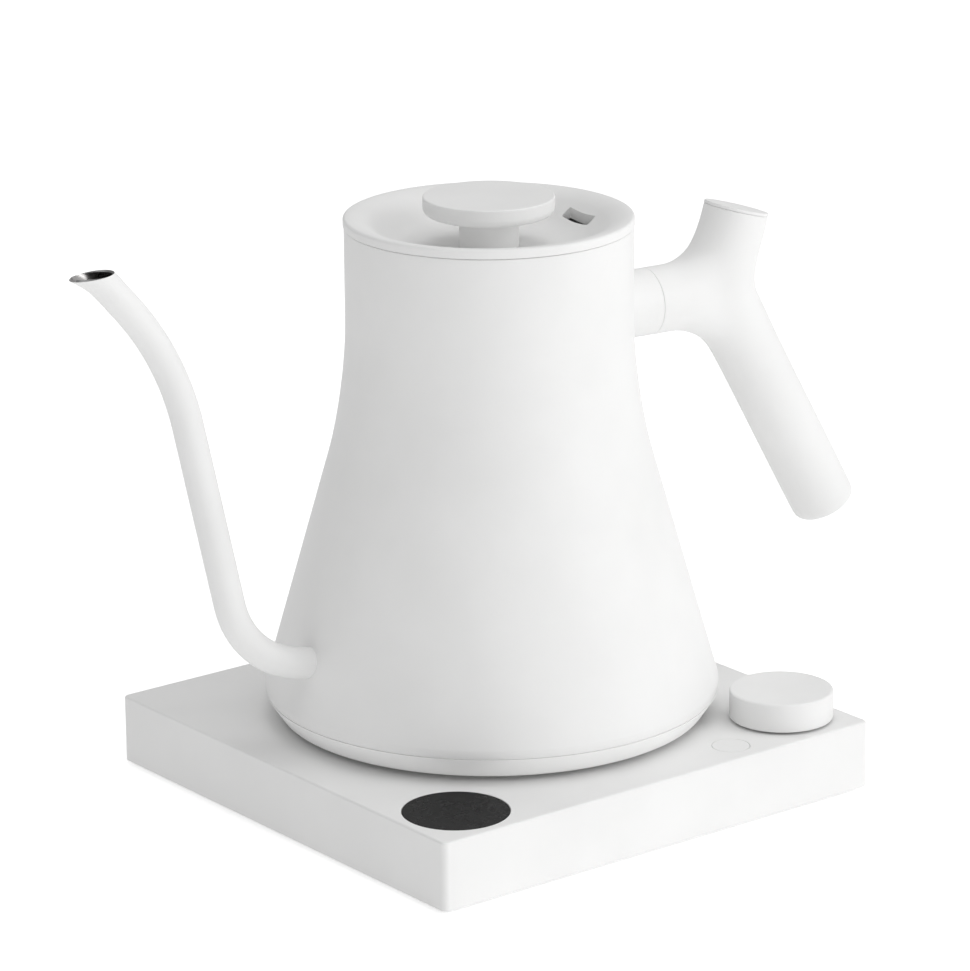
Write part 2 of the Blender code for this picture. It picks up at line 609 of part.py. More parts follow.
def mesh_of_curve(curve):
    guide = bpy.data.objects.new("guide", curve)
    CUTTERS.objects.link(guide)
    graph = bpy.context.evaluated_depsgraph_get()
    mesh = bpy.data.meshes.new_from_object(guide.evaluated_get(graph))
    bpy.data.objects.remove(guide, do_unlink=True)
    bm = bmesh.new()
    bm.from_mesh(mesh)
    bmesh.ops.remove_doubles(bm, verts=bm.verts, dist=0.000001)
    bmesh.ops.recalc_face_normals(bm, faces=bm.faces)
    bpy.data.meshes.remove(mesh)
    return finished(bm, "tube")


def make_spout(kettle):
    spout = part("spout", tube_mesh(spout_points(), SPOUT_ROOT_RADIUS, SPOUT_TIP_RADIUS), WHITE_PAINT, kettle)
    wall = spout.modifiers.new("Wall", "SOLIDIFY")
    wall.thickness = SPOUT_WALL
    wall.offset = -1
    cut_by_vessel(spout)
    above = box((-0.03, -0.02, 0), (0.03, 0.02, 0.03))
    above.transform(Matrix.Rotation(-SPOUT_CUT_TILT, 4, "Y"))
    above.transform(Matrix.Translation(spout_mouth()))
    cut(spout, "lip_plane", above)


# The handle lies in the plane Y = 0. Arm, stub and leg meet at one point.
def handle_joint():
    return Vector((HANDLE_REACH, 0, ARM_HEIGHT))


def stub_at(distance):
    return handle_joint() + distance * Vector((math.sin(STUB_TILT), 0, math.cos(STUB_TILT)))


def leg_at(distance):
    return handle_joint() + distance * Vector((math.sin(LEG_TILT), 0, -math.cos(LEG_TILT)))


def make_handle_post(kettle):
    """Metal post welded to the vessel, with the spigot that the grip slides on."""
    arm = rod(ARM_RADIUS, (BODY_NECK_RADIUS - 0.01, 0, ARM_HEIGHT), (ARM_SEAM_REACH, 0, ARM_HEIGHT), 32)
    post = part("handle_post", arm, WHITE_PAINT, kettle)
    end = HANDLE_REACH + 0.0055
    join(post, "spigot", rod(SPIGOT_RADIUS, (ARM_SEAM_REACH - 0.003, 0, ARM_HEIGHT), (end, 0, ARM_HEIGHT), 20))
    cut(post, "bolt_hole", rod(BOLT_RADIUS + GAP, stub_at(-0.0045), stub_at(0.0100), 12))
    cut_by_vessel(post)


OCTAGON_SPREAD = 1 / 0.902  # an eight-sided cage shrinks by this much as it is subdivided


def cage_ring(bm, middle, axis, radius, width=1.0):
    """Eight vertices round axis, in the plane across it. width scales the ring in the handle's plane."""
    across = Vector((axis.z, 0, -axis.x)).normalized()
    frame = Matrix((across, Vector((0, 1, 0)), axis.normalized())).transposed().to_4x4()
    spread = radius * OCTAGON_SPREAD
    place = Matrix.Translation(middle) @ frame @ Matrix.Diagonal((width * spread, spread, spread, 1))
    return bmesh.ops.create_circle(bm, cap_ends=False, segments=8, radius=1, matrix=place)["verts"]


def ring_edges(ring):
    return [e for e in {e for v in ring for e in v.link_edges} if all(v in ring for v in e.verts)]


def bridge(bm, rings):
    for a, b in zip(rings, rings[1:]):
        bmesh.ops.bridge_loops(bm, edges=ring_edges(a) + ring_edges(b))


def close_end(bm, ring):
    bmesh.ops.edgeloop_fill(bm, edges=ring_edges(ring))


def grip_mesh():
    """Three-armed grip as a coarse cage: one bent limb from stub to leg, opened on its inner side for the arm."""
    bm = bmesh.new()
    up = Vector((math.sin(STUB_TILT), 0, math.cos(STUB_TILT)))
    down = Vector((math.sin(LEG_TILT), 0, -math.cos(LEG_TILT)))
    stub_end = STUB_LENGTH - CAP_THICKNESS - GAP
    toward_arm = Vector((-1, 0, 0))
    limb = [
        cage_ring(bm, stub_at(stub_end), -up, STUB_RADIUS * 0.8),
        cage_ring(bm, stub_at(stub_end), -up, STUB_RADIUS),
        cage_ring(bm, stub_at(stub_end - 0.001), -up, STUB_RADIUS),
        cage_ring(bm, stub_at(stub_end - 0.007), -up, STUB_RADIUS),
        cage_ring(bm, stub_at(0.0115) + 0.0008 * toward_arm, -up, STUB_RADIUS, 1.1),
        cage_ring(bm, handle_joint() + 0.0004 * toward_arm, (down - up), ARM_RADIUS, 0.98),
        cage_ring(bm, leg_at(0.0115) + 0.0006 * toward_arm, down, LEG_RADIUS, 1.06),
        cage_ring(bm, leg_at(0.022), down, LEG_RADIUS),
        cage_ring(bm, leg_at(0.045), down, LEG_RADIUS),
        cage_ring(bm, leg_at(LEG_LENGTH - 0.0045), down, LEG_RADIUS),
        cage_ring(bm, leg_at(LEG_LENGTH - 0.0007), down, LEG_RADIUS * 0.965),
        cage_ring(bm, leg_at(LEG_LENGTH), down, LEG_RADIUS * 0.8),
    ]
    bridge(bm, limb)
    close_end(bm, limb[0])
    close_end(bm, limb[-1])
    middle = limb[5]
    inner = min(middle, key=lambda v: v.co.x)
    for vert in middle:
        if vert is not inner and vert.co.x < HANDLE_REACH - 0.004:
            vert.co.x += 0.0025
            vert.co.y *= 1.3
    bmesh.ops.delete(bm, geom=[inner], context="VERTS")
    opening = [e for e in bm.edges if e.is_boundary]
    along = Vector((1, 0, 0))
    face = ARM_SEAM_REACH + GAP
    arm = [
        cage_ring(bm, Vector((x, 0, ARM_HEIGHT)), along, ARM_RADIUS * share)
        for x, share in ((face, 0.8), (face, 1), (face + 0.001, 1), (face + 0.006, 1), (face + 0.0125, 1))
    ]
    bridge(bm, arm)
    close_end(bm, arm[0])
    bmesh.ops.bridge_loops(bm, edges=opening + ring_edges(arm[-1]))
    bmesh.ops.recalc_face_normals(bm, faces=bm.faces)
    return finished(bm, "grip")


def make_handle(kettle):
    grip = part("handle_grip", grip_mesh(), WHITE_PLASTIC, kettle)
    rounding = grip.modifiers.new("Rounding", "SUBSURF")
    rounding.levels = 1
    rounding.render_levels = 1
    bore = rod(SPIGOT_RADIUS + GAP, (ARM_SEAM_REACH - 0.01, 0, ARM_HEIGHT), (HANDLE_REACH + 0.006, 0, ARM_HEIGHT), 20)
    cut(grip, "spigot_bore", bore)
    cut(grip, "bolt_well", rod(BOLT_HEAD_RADIUS + 2 * GAP, stub_at(0.0105), stub_at(STUB_LENGTH + 0.01), 20))
    cut(grip, "bolt_hole", rod(BOLT_RADIUS + GAP, stub_at(0.002), stub_at(0.0125), 12))

    bolt = part("handle_bolt", rod(BOLT_HEAD_RADIUS, stub_at(0.0108), stub_at(0.0148), 20), STEEL, kettle)
    join(bolt, "shank", rod(BOLT_RADIUS, stub_at(-0.0040), stub_at(0.0120), 12))
    cut(bolt, "hex_socket", rod(0.0019, stub_at(0.0125), stub_at(0.0160), 6))

    top, under = STUB_LENGTH, STUB_LENGTH - CAP_THICKNESS
    cap = part("handle_cap", rod(STUB_RADIUS - GAP / 2, stub_at(under), stub_at(top), 32), WHITE_PLASTIC, kettle)
    join(cap, "plug", rod(BOLT_HEAD_RADIUS, stub_at(under - 0.004), stub_at(under + CAP_THICKNESS / 2), 20))


# ---------------------------------------------------------------- heater and foot of the kettle
SPREADER_THICKNESS = 0.0025
ELEMENT_TUBE = 0.003
FOOT_FLOOR = -KETTLE_STAND + GAP
FOOT_WALL = 0.0018
SOCKET_RADIUS = CONNECTOR_RADIUS + 0.0006
SOCKET_WALL = 0.0048
SOCKET_OUTER = SOCKET_RADIUS + SOCKET_WALL
FOOT_SCREW_REACH = FOOT_BAND_BOTTOM_RADIUS - 0.0154
FOOT_SCREW_ANGLES = (30, 150, 270)
SPREADER_RADIUS = FOOT_SCREW_REACH - 0.007
ELEMENT_RADIUS = SOCKET_OUTER + 0.0156
PROBE_XY = (-SOCKET_OUTER - 0.0051, 0.0)
CUTOUT_XY = (0.0, SOCKET_OUTER + 0.0066)


def foot_screw_places():
    angles = [math.radians(a) for a in FOOT_SCREW_ANGLES]
    return [(FOOT_SCREW_REACH * math.cos(a), FOOT_SCREW_REACH * math.sin(a)) for a in angles]


def make_heater(kettle):
    top = FLOOR_HEIGHT
    under = top - FLOOR_THICKNESS
    radius = cone_radius(top) - BODY_WALL / math.cos(BODY_HALF_ANGLE) - GAP
    outline = [(0, top), (radius, top), (radius, under), (0, under)]
    floor = turned("heater_plate", outline, STEEL, kettle, steps=SMOOTH_STEPS, closed=False)
    post_low = FOOT_FLOOR + FOOT_WALL + GAP
    for n, at in enumerate(foot_screw_places()):
        join(floor, f"post_{n}", upright_rod(0.0035, post_low, under + FLOOR_THICKNESS / 2, at, 16))
    for n, at in enumerate(foot_screw_places()):
        cut(floor, f"post_hole_{n}", upright_rod(0.0012 + SCREW_CLEARANCE, -0.01, under - 0.001, at, 12))
    cut(floor, "probe_hole", upright_rod(0.002 + GAP, under - 0.01, top + 0.01, PROBE_XY, 16))

    high = under - GAP
    low = high - SPREADER_THICKNESS
    outline = [(0, high), (SPREADER_RADIUS, high), (SPREADER_RADIUS, low), (0, low)]
    spreader = turned("heat_spreader", outline, ALUMINIUM, kettle, steps=32, closed=False)
    cut(spreader, "probe_hole", upright_rod(0.002 + GAP, low - 0.01, high + 0.01, PROBE_XY, 16))

    middle = low - GAP - ELEMENT_TUBE
    curve = bpy.data.curves.new("element", "CURVE")
    curve.dimensions = "3D"
    curve.bevel_depth = ELEMENT_TUBE
    curve.bevel_resolution = 2
    curve.use_fill_caps = True
    count = 26
    spline = curve.splines.new("POLY")
    spline.points.add(count - 1)
    for n, point in enumerate(spline.points):
        angle = math.radians(-65 + 310 * n / (count - 1))
        point.co = (ELEMENT_RADIUS * math.cos(angle), ELEMENT_RADIUS * math.sin(angle), middle, 1)
    part("heating_element", mesh_of_curve(curve), STEEL, kettle)

    cutout_high = low - GAP
    outline = [(0, cutout_high), (0.005, cutout_high), (0.005, cutout_high - 0.004), (0, cutout_high - 0.004)]
    turned("thermal_cutout", outline, BLACK_PLASTIC, kettle, CUTOUT_XY, 16, closed=False)
    outline = [(0, top + 0.006), (0.0012, top + 0.0056), (0.002, top + 0.0045), (0.002, low - 0.004), (0, low - 0.004)]
    turned("temperature_probe", outline, STEEL, kettle, PROBE_XY, 16, closed=False)


def make_foot(kettle):
    """Moulded shoe under the vessel: a floor that stands on the base and the tapering band round it."""
    hole = SOCKET_OUTER + GAP
    band_low, band_high = FOOT_BAND_BOTTOM_RADIUS, FOOT_BAND_TOP_RADIUS
    step = band_low - 0.0065
    outline = [(band_high - FOOT_WALL, FOOT_BAND_HEIGHT), (band_high, FOOT_BAND_HEIGHT), (band_low + 0.0002, 0.0008)]
    outline += [(band_low - 0.0008, 0), (step, 0), (step - 0.0005, FOOT_FLOOR), (hole, FOOT_FLOOR)]
    outline += [(hole, FOOT_FLOOR + FOOT_WALL), (band_low - FOOT_WALL - 0.0015, FOOT_FLOOR + FOOT_WALL)]
    outline += [(band_low - FOOT_WALL + 0.0006, FOOT_WALL)]
    foot = turned("kettle_foot", outline, WHITE_PLASTIC, kettle, steps=SMOOTH_STEPS)
    for n, at in enumerate(foot_screw_places(), 1):
        cut(foot, f"head_recess_{n}", upright_rod(0.0028, -0.01, FOOT_FLOOR + 0.0011, at, 16))
        cut(foot, f"screw_hole_{n}", upright_rod(0.0012 + SCREW_CLEARANCE, -0.01, 0.01, at, 12))
        screw_part(f"foot_screw_{n}", at, FOOT_FLOOR, 0.0008, 0.0085, 0.0025, 0.0012, kettle)


def make_socket(kettle):
    """The kettle's half of the round connector: a cup that drops over the base's plug."""
    plug_top = CONNECTOR_HEIGHT - KETTLE_STAND
    ceiling = plug_top + 2 * GAP
    outer = SOCKET_OUTER
    flange_low = FOOT_FLOOR + FOOT_WALL + GAP
    tube_out, tube_in = CONNECTOR_RECESS - 2 * GAP, POWER_PIN_RADIUS + 2 * GAP
    tube_low = -KETTLE_STAND + 0.002 + 2 * GAP
    top = ceiling + 0.0012
    outline = [(0, top), (outer, top), (outer, flange_low + 0.0012), (outer + 0.003, flange_low + 0.0012)]
    outline += [(outer + 0.003, flange_low), (outer, flange_low), (outer, FOOT_FLOOR), (SOCKET_RADIUS, FOOT_FLOOR)]
    outline += [(SOCKET_RADIUS, ceiling), (tube_out, ceiling), (tube_out, tube_low), (tube_in, tube_low)]
    outline += [(tube_in, ceiling - 2 * GAP + 0.0009), (0, ceiling - 2 * GAP + 0.0009)]
    turned("kettle_connector", outline, BLACK_PLASTIC, kettle, steps=32, closed=False)
    inner, outer = GROOVE_INNER + 2 * GAP, GROOVE_OUTER - 2 * GAP
    high = ceiling - GAP
    outline = [(inner, high), (outer, high), (outer, tube_low), (inner, tube_low)]
    turned("kettle_contact_ring", outline, BRASS, kettle, steps=32)


# ---------------------------------------------------------------- the lid
LID_BOLT_HOLE = 0.0022
LID_SKIRT_RADIUS = BODY_NECK_RADIUS - BODY_WALL - 0.0014
SEAL_HEIGHT = 0.003


def lid_dish(offset):
    """Upper side of the lid's hollow, from its floor out to the rim, moved down by offset."""
    floor = LID_TOP - LID_DISH_DEPTH - offset
    rise = LID_DISH_DEPTH + offset
    shares = ((0.0237, 0.02), (0.0194, 0.085), (0.0159, 0.22), (0.0129, 0.42), (0.0094, 0.68), (0.0059, 0.88))
    return [(LID_RADIUS - inset, floor + share * rise) for inset, share in shares]


def make_lid(kettle):
    lid = empty("lid_axis", (0, 0, 0), kettle)
    skirt, skirt_low = LID_SKIRT_RADIUS, LID_SEAM - LID_SKIRT_DEPTH
    inner = skirt - LID_WALL
    floor = LID_TOP - LID_DISH_DEPTH
    groove, groove_low = skirt - 0.001, skirt_low + 0.0022
    groove_high = groove_low + SEAL_HEIGHT + 2 * GAP
    outline = [(LID_BOLT_HOLE, floor), *lid_dish(0), (LID_RADIUS - 0.0029, LID_TOP - 0.0002)]
    outline += arc((LID_RADIUS - 0.0012, LID_TOP - 0.0012), 0.0012, 90, 0, 3)
    outline += [(LID_RADIUS, LID_SEAM), (skirt, LID_SEAM), (skirt, groove_high), (groove, groove_high)]
    outline += [(groove, groove_low), (skirt, groove_low), (skirt, skirt_low), (inner, skirt_low)]
    outline += [(inner, LID_TOP - LID_WALL - 0.0022), *lid_dish_underside(inner), (LID_BOLT_HOLE, floor - LID_WALL)]
    shell = turned("lid_shell", outline, WHITE_PLASTIC, lid, steps=SMOOTH_STEPS)
    half_width, half_length = VENT_WIDTH / 2, VENT_LENGTH / 2
    low = (VENT_REACH - half_width, -half_length, skirt_low - 0.01)
    high = (VENT_REACH + half_width, half_length, LID_TOP + 0.01)
    cut(shell, "vent", box(low, high, 0.0008))

    seal_out = BODY_NECK_RADIUS - BODY_WALL - GAP
    seal_in, seal_low = groove + GAP, groove_low + GAP
    seal_high = seal_low + SEAL_HEIGHT
    outline = [(seal_in, seal_high), (seal_out - 0.0004, seal_high), (seal_out, (seal_low + seal_high) / 2)]
    outline += [(seal_out - 0.0004, seal_low), (seal_in, seal_low)]
    turned("lid_seal", outline, SILICONE, lid, steps=SMOOTH_STEPS)

    cup_high = skirt_low - GAP
    cup_low = cup_high - 0.0008
    outline = [(LID_BOLT_HOLE, cup_high), (skirt, cup_high), (skirt, cup_low), (LID_BOLT_HOLE, cup_low)]
    cup = turned("lid_cup", outline, STEEL, lid, steps=SMOOTH_STEPS)
    cut(cup, "vent", box(low, high, 0.0008))

    knob_top, knob_low = LID_SEAM + KNOB_TOP, floor + GAP
    bore, bore_top = LID_BOLT_HOLE, LID_SEAM + 0.0045
    outline = [(0, knob_top), *arc((KNOB_RADIUS - 0.0006, knob_top - 0.0006), 0.0006, 90, 0, 2)]
    outline += arc((KNOB_RADIUS - 0.0022, knob_top - 0.0036), 0.0022, 0, -80, 4)
    outline += [(KNOB_NECK_RADIUS + 0.0030, knob_top - 0.0065), (KNOB_NECK_RADIUS + 0.0012, knob_top - 0.0072)]
    outline += [(KNOB_NECK_RADIUS + 0.0003, knob_top - 0.0084), (KNOB_NECK_RADIUS, knob_top - 0.0098)]
    outline += [(KNOB_NECK_RADIUS, knob_low), (bore, knob_low), (bore, bore_top), (0, bore_top)]
    turned("lid_knob", outline, WHITE_PLASTIC, lid, steps=SMOOTH_STEPS, closed=False)
    head_low = cup_low - GAP - 0.0018
    screw_part("lid_screw", (0, 0), head_low, 0.0018, bore_top - 0.001, 0.0036, LID_BOLT_HOLE - SCREW_CLEARANCE, lid)


def lid_dish_underside(outermost):
    """The same hollow on the lid's lower side, from the skirt in to the floor."""
    under = [(radius + 0.0007, z) for radius, z in lid_dish(LID_WALL)]
    return [point for point in under[::-1] if point[0] < outermost - 0.0005]


# ---------------------------------------------------------------- build
clear_scene()
PARTS = collection("gooseneck_kettle")
CUTTERS = collection("cutters")
make_base_cover()
make_base_pan()
make_feet()
make_power_connector()
make_display()
make_dial()
make_button()
make_boards()
make_power_parts()
KETTLE = empty("kettle_axis", (0, 0, KETTLE_Z), turn=KETTLE_TURN)
make_body(KETTLE)
make_spout(KETTLE)
make_handle_post(KETTLE)
make_handle(KETTLE)
make_heater(KETTLE)
make_foot(KETTLE)
make_socket(KETTLE)
make_lid(KETTLE)
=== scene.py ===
import math

import bmesh
import bpy
from mathutils import Matrix, Vector


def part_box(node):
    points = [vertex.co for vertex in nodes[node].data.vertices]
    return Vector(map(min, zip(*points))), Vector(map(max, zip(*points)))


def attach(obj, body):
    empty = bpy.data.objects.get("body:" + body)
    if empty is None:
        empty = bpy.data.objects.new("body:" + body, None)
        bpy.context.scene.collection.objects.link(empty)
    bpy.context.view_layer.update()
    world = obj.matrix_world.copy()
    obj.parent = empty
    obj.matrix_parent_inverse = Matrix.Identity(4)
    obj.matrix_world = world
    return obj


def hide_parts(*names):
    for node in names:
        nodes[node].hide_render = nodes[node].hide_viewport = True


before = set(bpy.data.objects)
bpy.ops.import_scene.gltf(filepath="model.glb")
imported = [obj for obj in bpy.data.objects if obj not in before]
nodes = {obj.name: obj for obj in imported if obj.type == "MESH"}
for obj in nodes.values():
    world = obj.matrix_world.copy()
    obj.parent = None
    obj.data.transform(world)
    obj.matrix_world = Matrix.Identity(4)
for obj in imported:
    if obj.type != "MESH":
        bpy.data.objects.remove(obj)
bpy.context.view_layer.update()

# ---------------------------------------------------------------- the camera
# A long lens on a tripod, a metre and a half away and a little above the kettle. It looks at the base's
# front left corner, so the display is nearest, the dial is on the right and the spout on the left.
scene = bpy.context.scene
scene.view_settings.view_transform = "Standard"
camera_place = Vector((-0.88943, -1.13537, 0.53754))
azimuth = math.radians(-38.015)
elevation = math.radians(16.959)
roll = math.radians(-0.413)
looking = Vector((
    -math.sin(azimuth) * math.cos(elevation),
    math.cos(azimuth) * math.cos(elevation),
    -math.sin(elevation),
))
level = Vector((math.cos(azimuth), math.sin(azimuth), 0))
upward = level.cross(looking)
right = math.cos(roll) * level + math.sin(roll) * upward
upward = right.cross(looking)
camera = bpy.data.objects.new("camera", bpy.data.cameras.new("camera"))
scene.collection.objects.link(camera)
camera_axes = Matrix((right, upward, -looking)).transposed().to_4x4()
camera.matrix_world = Matrix.Translation(camera_place) @ camera_axes
camera.data.lens = 175.26
camera.data.sensor_width = 36
camera.data.shift_x = -0.0010
camera.data.shift_y = -0.0006
camera.data.clip_start = 0.01
camera.data.clip_end = 100
scene.camera = camera

# ---------------------------------------------------------------- the floor and the light
# A wide white worktop that runs out to white, under a white sky that is weaker on the left. A broad soft box
# to the right of the camera lights the right-hand side, and two more, low in front and overhead, lift what
# faces them.
floor_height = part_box("rubber_foot_front_left")[0].z
floor_reach = 12
bm = bmesh.new()
bmesh.ops.create_grid(
    bm, x_segments=1, y_segments=1, size=floor_reach, matrix=Matrix.Translation((0, 0, floor_height))
)
floor_mesh = bpy.data.meshes.new("worktop")
bm.to_mesh(floor_mesh)
bm.free()
floor = bpy.data.objects.new("worktop", floor_mesh)
scene.collection.objects.link(floor)
floor_look = bpy.data.materials.new("worktop_white")
floor_look.use_nodes = True
floor_tree = floor_look.node_tree
floor_shader = floor_tree.nodes["Principled BSDF"]
floor_shader.inputs["Base Color"].default_value = (0.97, 0.97, 0.97, 1)
floor_shader.inputs["Roughness"].default_value = 0.9
floor_shader.inputs["Specular IOR Level"].default_value = 0.0
floor_shader.inputs["Emission Color"].default_value = (1, 1, 1, 1)
glow_on_things, glow_in_view = 0.24, 0.44
floor_seen = floor_tree.nodes.new("ShaderNodeLightPath")
floor_glow = floor_tree.nodes.new("ShaderNodeMapRange")
floor_tree.links.new(floor_seen.outputs["Is Camera Ray"], floor_glow.inputs["Value"])
floor_glow.inputs["To Min"].default_value = glow_on_things
floor_glow.inputs["To Max"].default_value = glow_in_view
floor_tree.links.new(floor_glow.outputs["Result"], floor_shader.inputs["Emission Strength"])
floor.data.materials.append(floor_look)

world = bpy.data.worlds.new("studio")
world.use_nodes = True
sky = world.node_tree
sky.nodes["Background"].inputs["Color"].default_value = (1, 1, 1, 1)
rightwards = (0.788, -0.616, 0)
sky_way = sky.nodes.new("ShaderNodeTexCoord")
to_right = sky.nodes.new("ShaderNodeVectorMath")
to_right.operation = "DOT_PRODUCT"
to_right.inputs[1].default_value = rightwards
sky.links.new(sky_way.outputs["Generated"], to_right.inputs[0])
sky_power = sky.nodes.new("ShaderNodeMapRange")
sky.links.new(to_right.outputs["Value"], sky_power.inputs["Value"])
for socket, value in (("From Min", -0.9), ("From Max", 0.2), ("To Min", 0.395), ("To Max", 0.592)):
    sky_power.inputs[socket].default_value = value
sky.links.new(sky_power.outputs["Result"], sky.nodes["Background"].inputs["Strength"])
scene.world = world


def soft_box(name, place, aim, size, watts):
    """A rectangular area light, turned to face the point aim."""
    lamp = bpy.data.lights.new(name, "AREA")
    lamp.shape = "RECTANGLE"
    lamp.size, lamp.size_y = size
    lamp.energy = watts
    made = bpy.data.objects.new(name, lamp)
    scene.collection.objects.link(made)
    made.location = place
    made.rotation_euler = (Vector(aim) - Vector(place)).to_track_quat("-Z", "Y").to_euler()


soft_box("key_box", (1.5, -1.9, 1.1), (0, 0, 0.08), (1.2, 1.2), 14.5)
soft_box("front_box", (0.0, -1.8, 0.25), (0, 0, 0.08), (1.6, 0.4), 3)
soft_box("top_box", (0.2, -0.2, 2.0), (0, 0, 0), (1.6, 1.6), 10.5)

# ---------------------------------------------------------------- base cover
# The square top shell of the power base: one white moulding, 22 mm high, with softened upright corners, a
# crisp top edge, and round openings for the display, the dial's shaft, the button and the connector.
MM = 0.001


def piece(name, bm, look, body, replaced, sharp=32):
    """Makes the finished mesh an object that rides on its body and stands for the CAD nodes named."""
    bmesh.ops.transform(bm, matrix=Matrix.Diagonal((MM, MM, MM, 1)), verts=bm.verts)
    mesh = bpy.data.meshes.new(name)
    bm.to_mesh(mesh)
    bm.free()
    mesh.shade_smooth()
    mesh.set_sharp_from_angle(angle=math.radians(sharp))
    for material in look if isinstance(look, list) else [look]:
        mesh.materials.append(material)
    made = bpy.data.objects.new(name, mesh)
    scene.collection.objects.link(made)
    weighted = made.modifiers.new("even_shading", "WEIGHTED_NORMAL")
    weighted.keep_sharp = True
    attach(made, body)
    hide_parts(*replaced)
    return made


def carve(bm, *cutters):
    """Cuts the cutter shapes out of bm with the exact solver and returns the result."""
    weld = 0.0005
    objects = []
    for number, part in enumerate((bm, *cutters)):
        mesh = bpy.data.meshes.new(f"carve_{number}")
        part.to_mesh(mesh)
        part.free()
        made = bpy.data.objects.new(f"carve_{number}", mesh)
        scene.collection.objects.link(made)
        objects.append(made)
    for other in objects[1:]:
        modifier = objects[0].modifiers.new("carve", "BOOLEAN")
        modifier.operation = "DIFFERENCE"
        modifier.solver = "EXACT"
        modifier.object = other
    graph = bpy.context.evaluated_depsgraph_get()
    mesh = bpy.data.meshes.new_from_object(objects[0].evaluated_get(graph))
    for made in objects:
        bpy.data.objects.remove(made, do_unlink=True)
    result = bmesh.new()
    result.from_mesh(mesh)
    bpy.data.meshes.remove(mesh)
    bmesh.ops.remove_doubles(result, verts=result.verts, dist=weld)
    bmesh.ops.dissolve_degenerate(result, edges=result.edges, dist=weld)
    return result


def block(low, high):
    """A box between two corners, in millimetres."""
    bm = bmesh.new()
    size = Vector(high) - Vector(low)
    middle = (Vector(high) + Vector(low)) / 2
    bmesh.ops.create_cube(bm, size=1, matrix=Matrix.Translation(middle) @ Matrix.Diagonal((*size, 1)))
    return bm


def rod(radius, start, end, steps=96):
    """A round bar between two points, in millimetres."""
    bm = bmesh.new()
    start, end = Vector(start), Vector(end)
    turn = (end - start).to_track_quat("Z", "Y").to_matrix().to_4x4()
    bmesh.ops.create_cone(
        bm,
        cap_ends=True,
        segments=steps,
        radius1=radius,
        radius2=radius,
        depth=(end - start).length,
        matrix=Matrix.Translation((start + end) / 2) @ turn,
    )
    return bm


def soften(bm, edges, width, segments):
    """Rounds the edges given, width millimetres back on either side."""
    bmesh.ops.bevel(
        bm, geom=edges, offset=width, segments=segments, profile=0.5, affect="EDGES", material=-1
    )


def upright_edges(bm):
    return [e for e in bm.edges if abs(e.verts[0].co.z - e.verts[1].co.z) > 1]


def ring_at(bm, centre, radius, height):
    """The edges of a round opening or rim, found by where its corners lie."""
    near = 0.02

    def on_ring(vert):
        reach = math.hypot(vert.co.x - centre[0], vert.co.y - centre[1])
        return abs(reach - radius) < near and abs(vert.co.z - height) < near

    return [e for e in bm.edges if all(on_ring(v) for v in e.verts)]


class Nodes:
    """Short way to lay out a material: each call adds one node and links its inputs."""

    def __init__(self, name):
        self.material = bpy.data.materials.new(name)
        self.material.use_nodes = True
        self.tree = self.material.node_tree
        self.shader = self.tree.nodes["Principled BSDF"]
        self.place = self.add("ShaderNodeTexCoord").outputs["Object"]

    def add(self, kind, **settings):
        node = self.tree.nodes.new(kind)
        for key, value in settings.items():
            setattr(node, key, value)
        return node

    def put(self, node, **inputs):
        """Sets or links inputs, by name with _ for a space, or by number as i0, i1 and so on."""
        for key, value in inputs.items():
            numbered = key[0] == "i" and key[1:].isdigit()
            socket = node.inputs[int(key[1:]) if numbered else key.replace("_", " ")]
            if isinstance(value, bpy.types.NodeSocket):
                self.tree.links.new(value, socket)
            else:
                socket.default_value = value
        return node

    def noise(self, scale, detail, roughness=0.5):
        node = self.put(self.add("ShaderNodeTexNoise"), Scale=scale, Detail=detail, Roughness=roughness)
        self.put(node, Vector=self.place)
        return node.outputs["Fac"]

    def spread(self, value, low, high, start=0.3, end=0.7):
        node = self.put(self.add("ShaderNodeMapRange"), Value=value)
        self.put(node, From_Min=start, From_Max=end, To_Min=low, To_Max=high)
        return node.outputs["Result"]

    def total(self, a, b):
        node = self.add("ShaderNodeMath", operation="ADD")
        self.put(node, i0=a, i1=b)
        return node.outputs[0]

    def blend(self, share, a, b):
        node = self.add("ShaderNodeMix", data_type="RGBA")
        self.put(node, i0=share, i6=a, i7=b)
        return node.outputs[2]

    def bump(self, height, distance, strength, under=None):
        node = self.put(self.add("ShaderNodeBump"), Height=height, Distance=distance, Strength=strength)
        if under:
            self.put(node, Normal=under)
        return node.outputs["Normal"]

    def finish(self, **inputs):
        self.put(self.shader, **inputs)
        return self.material


def matte_white(name, tone, grain, relief, roughness):
    """A white skin with a fine grain, slightly uneven in tone and gloss, with no pattern seen from afar."""
    n = Nodes(name)
    cloud = n.noise(38, 3)
    fine = n.noise(grain, 3, 0.6)
    coarse = n.noise(grain * 0.22, 2)
    lighter = (tone, tone, tone * 0.995, 1)
    darker = (tone * 0.965, tone * 0.965, tone * 0.96, 1)
    dust = (tone * 0.6, tone * 0.6, tone * 0.6, 1)
    colour = n.blend(n.spread(cloud, 0, 1), darker, lighter)
    speck = n.spread(n.noise(grain * 1.7, 1), 0, 0.06, 0.66, 0.74)
    colour = n.blend(speck, colour, dust)
    gloss = n.total(n.spread(cloud, roughness - 0.03, roughness + 0.03), n.spread(fine, -0.04, 0.04))
    normal = n.bump(coarse, relief * 1.5, 0.5)
    normal = n.bump(fine, relief, 0.6, normal)
    return n.finish(Base_Color=colour, Roughness=gloss, Normal=normal)


def seen_from_above(node):
    """The middle of a CAD node in plan, in millimetres."""
    low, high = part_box(node)
    return (low.x + high.x) / 2 / MM, (low.y + high.y) / 2 / MM


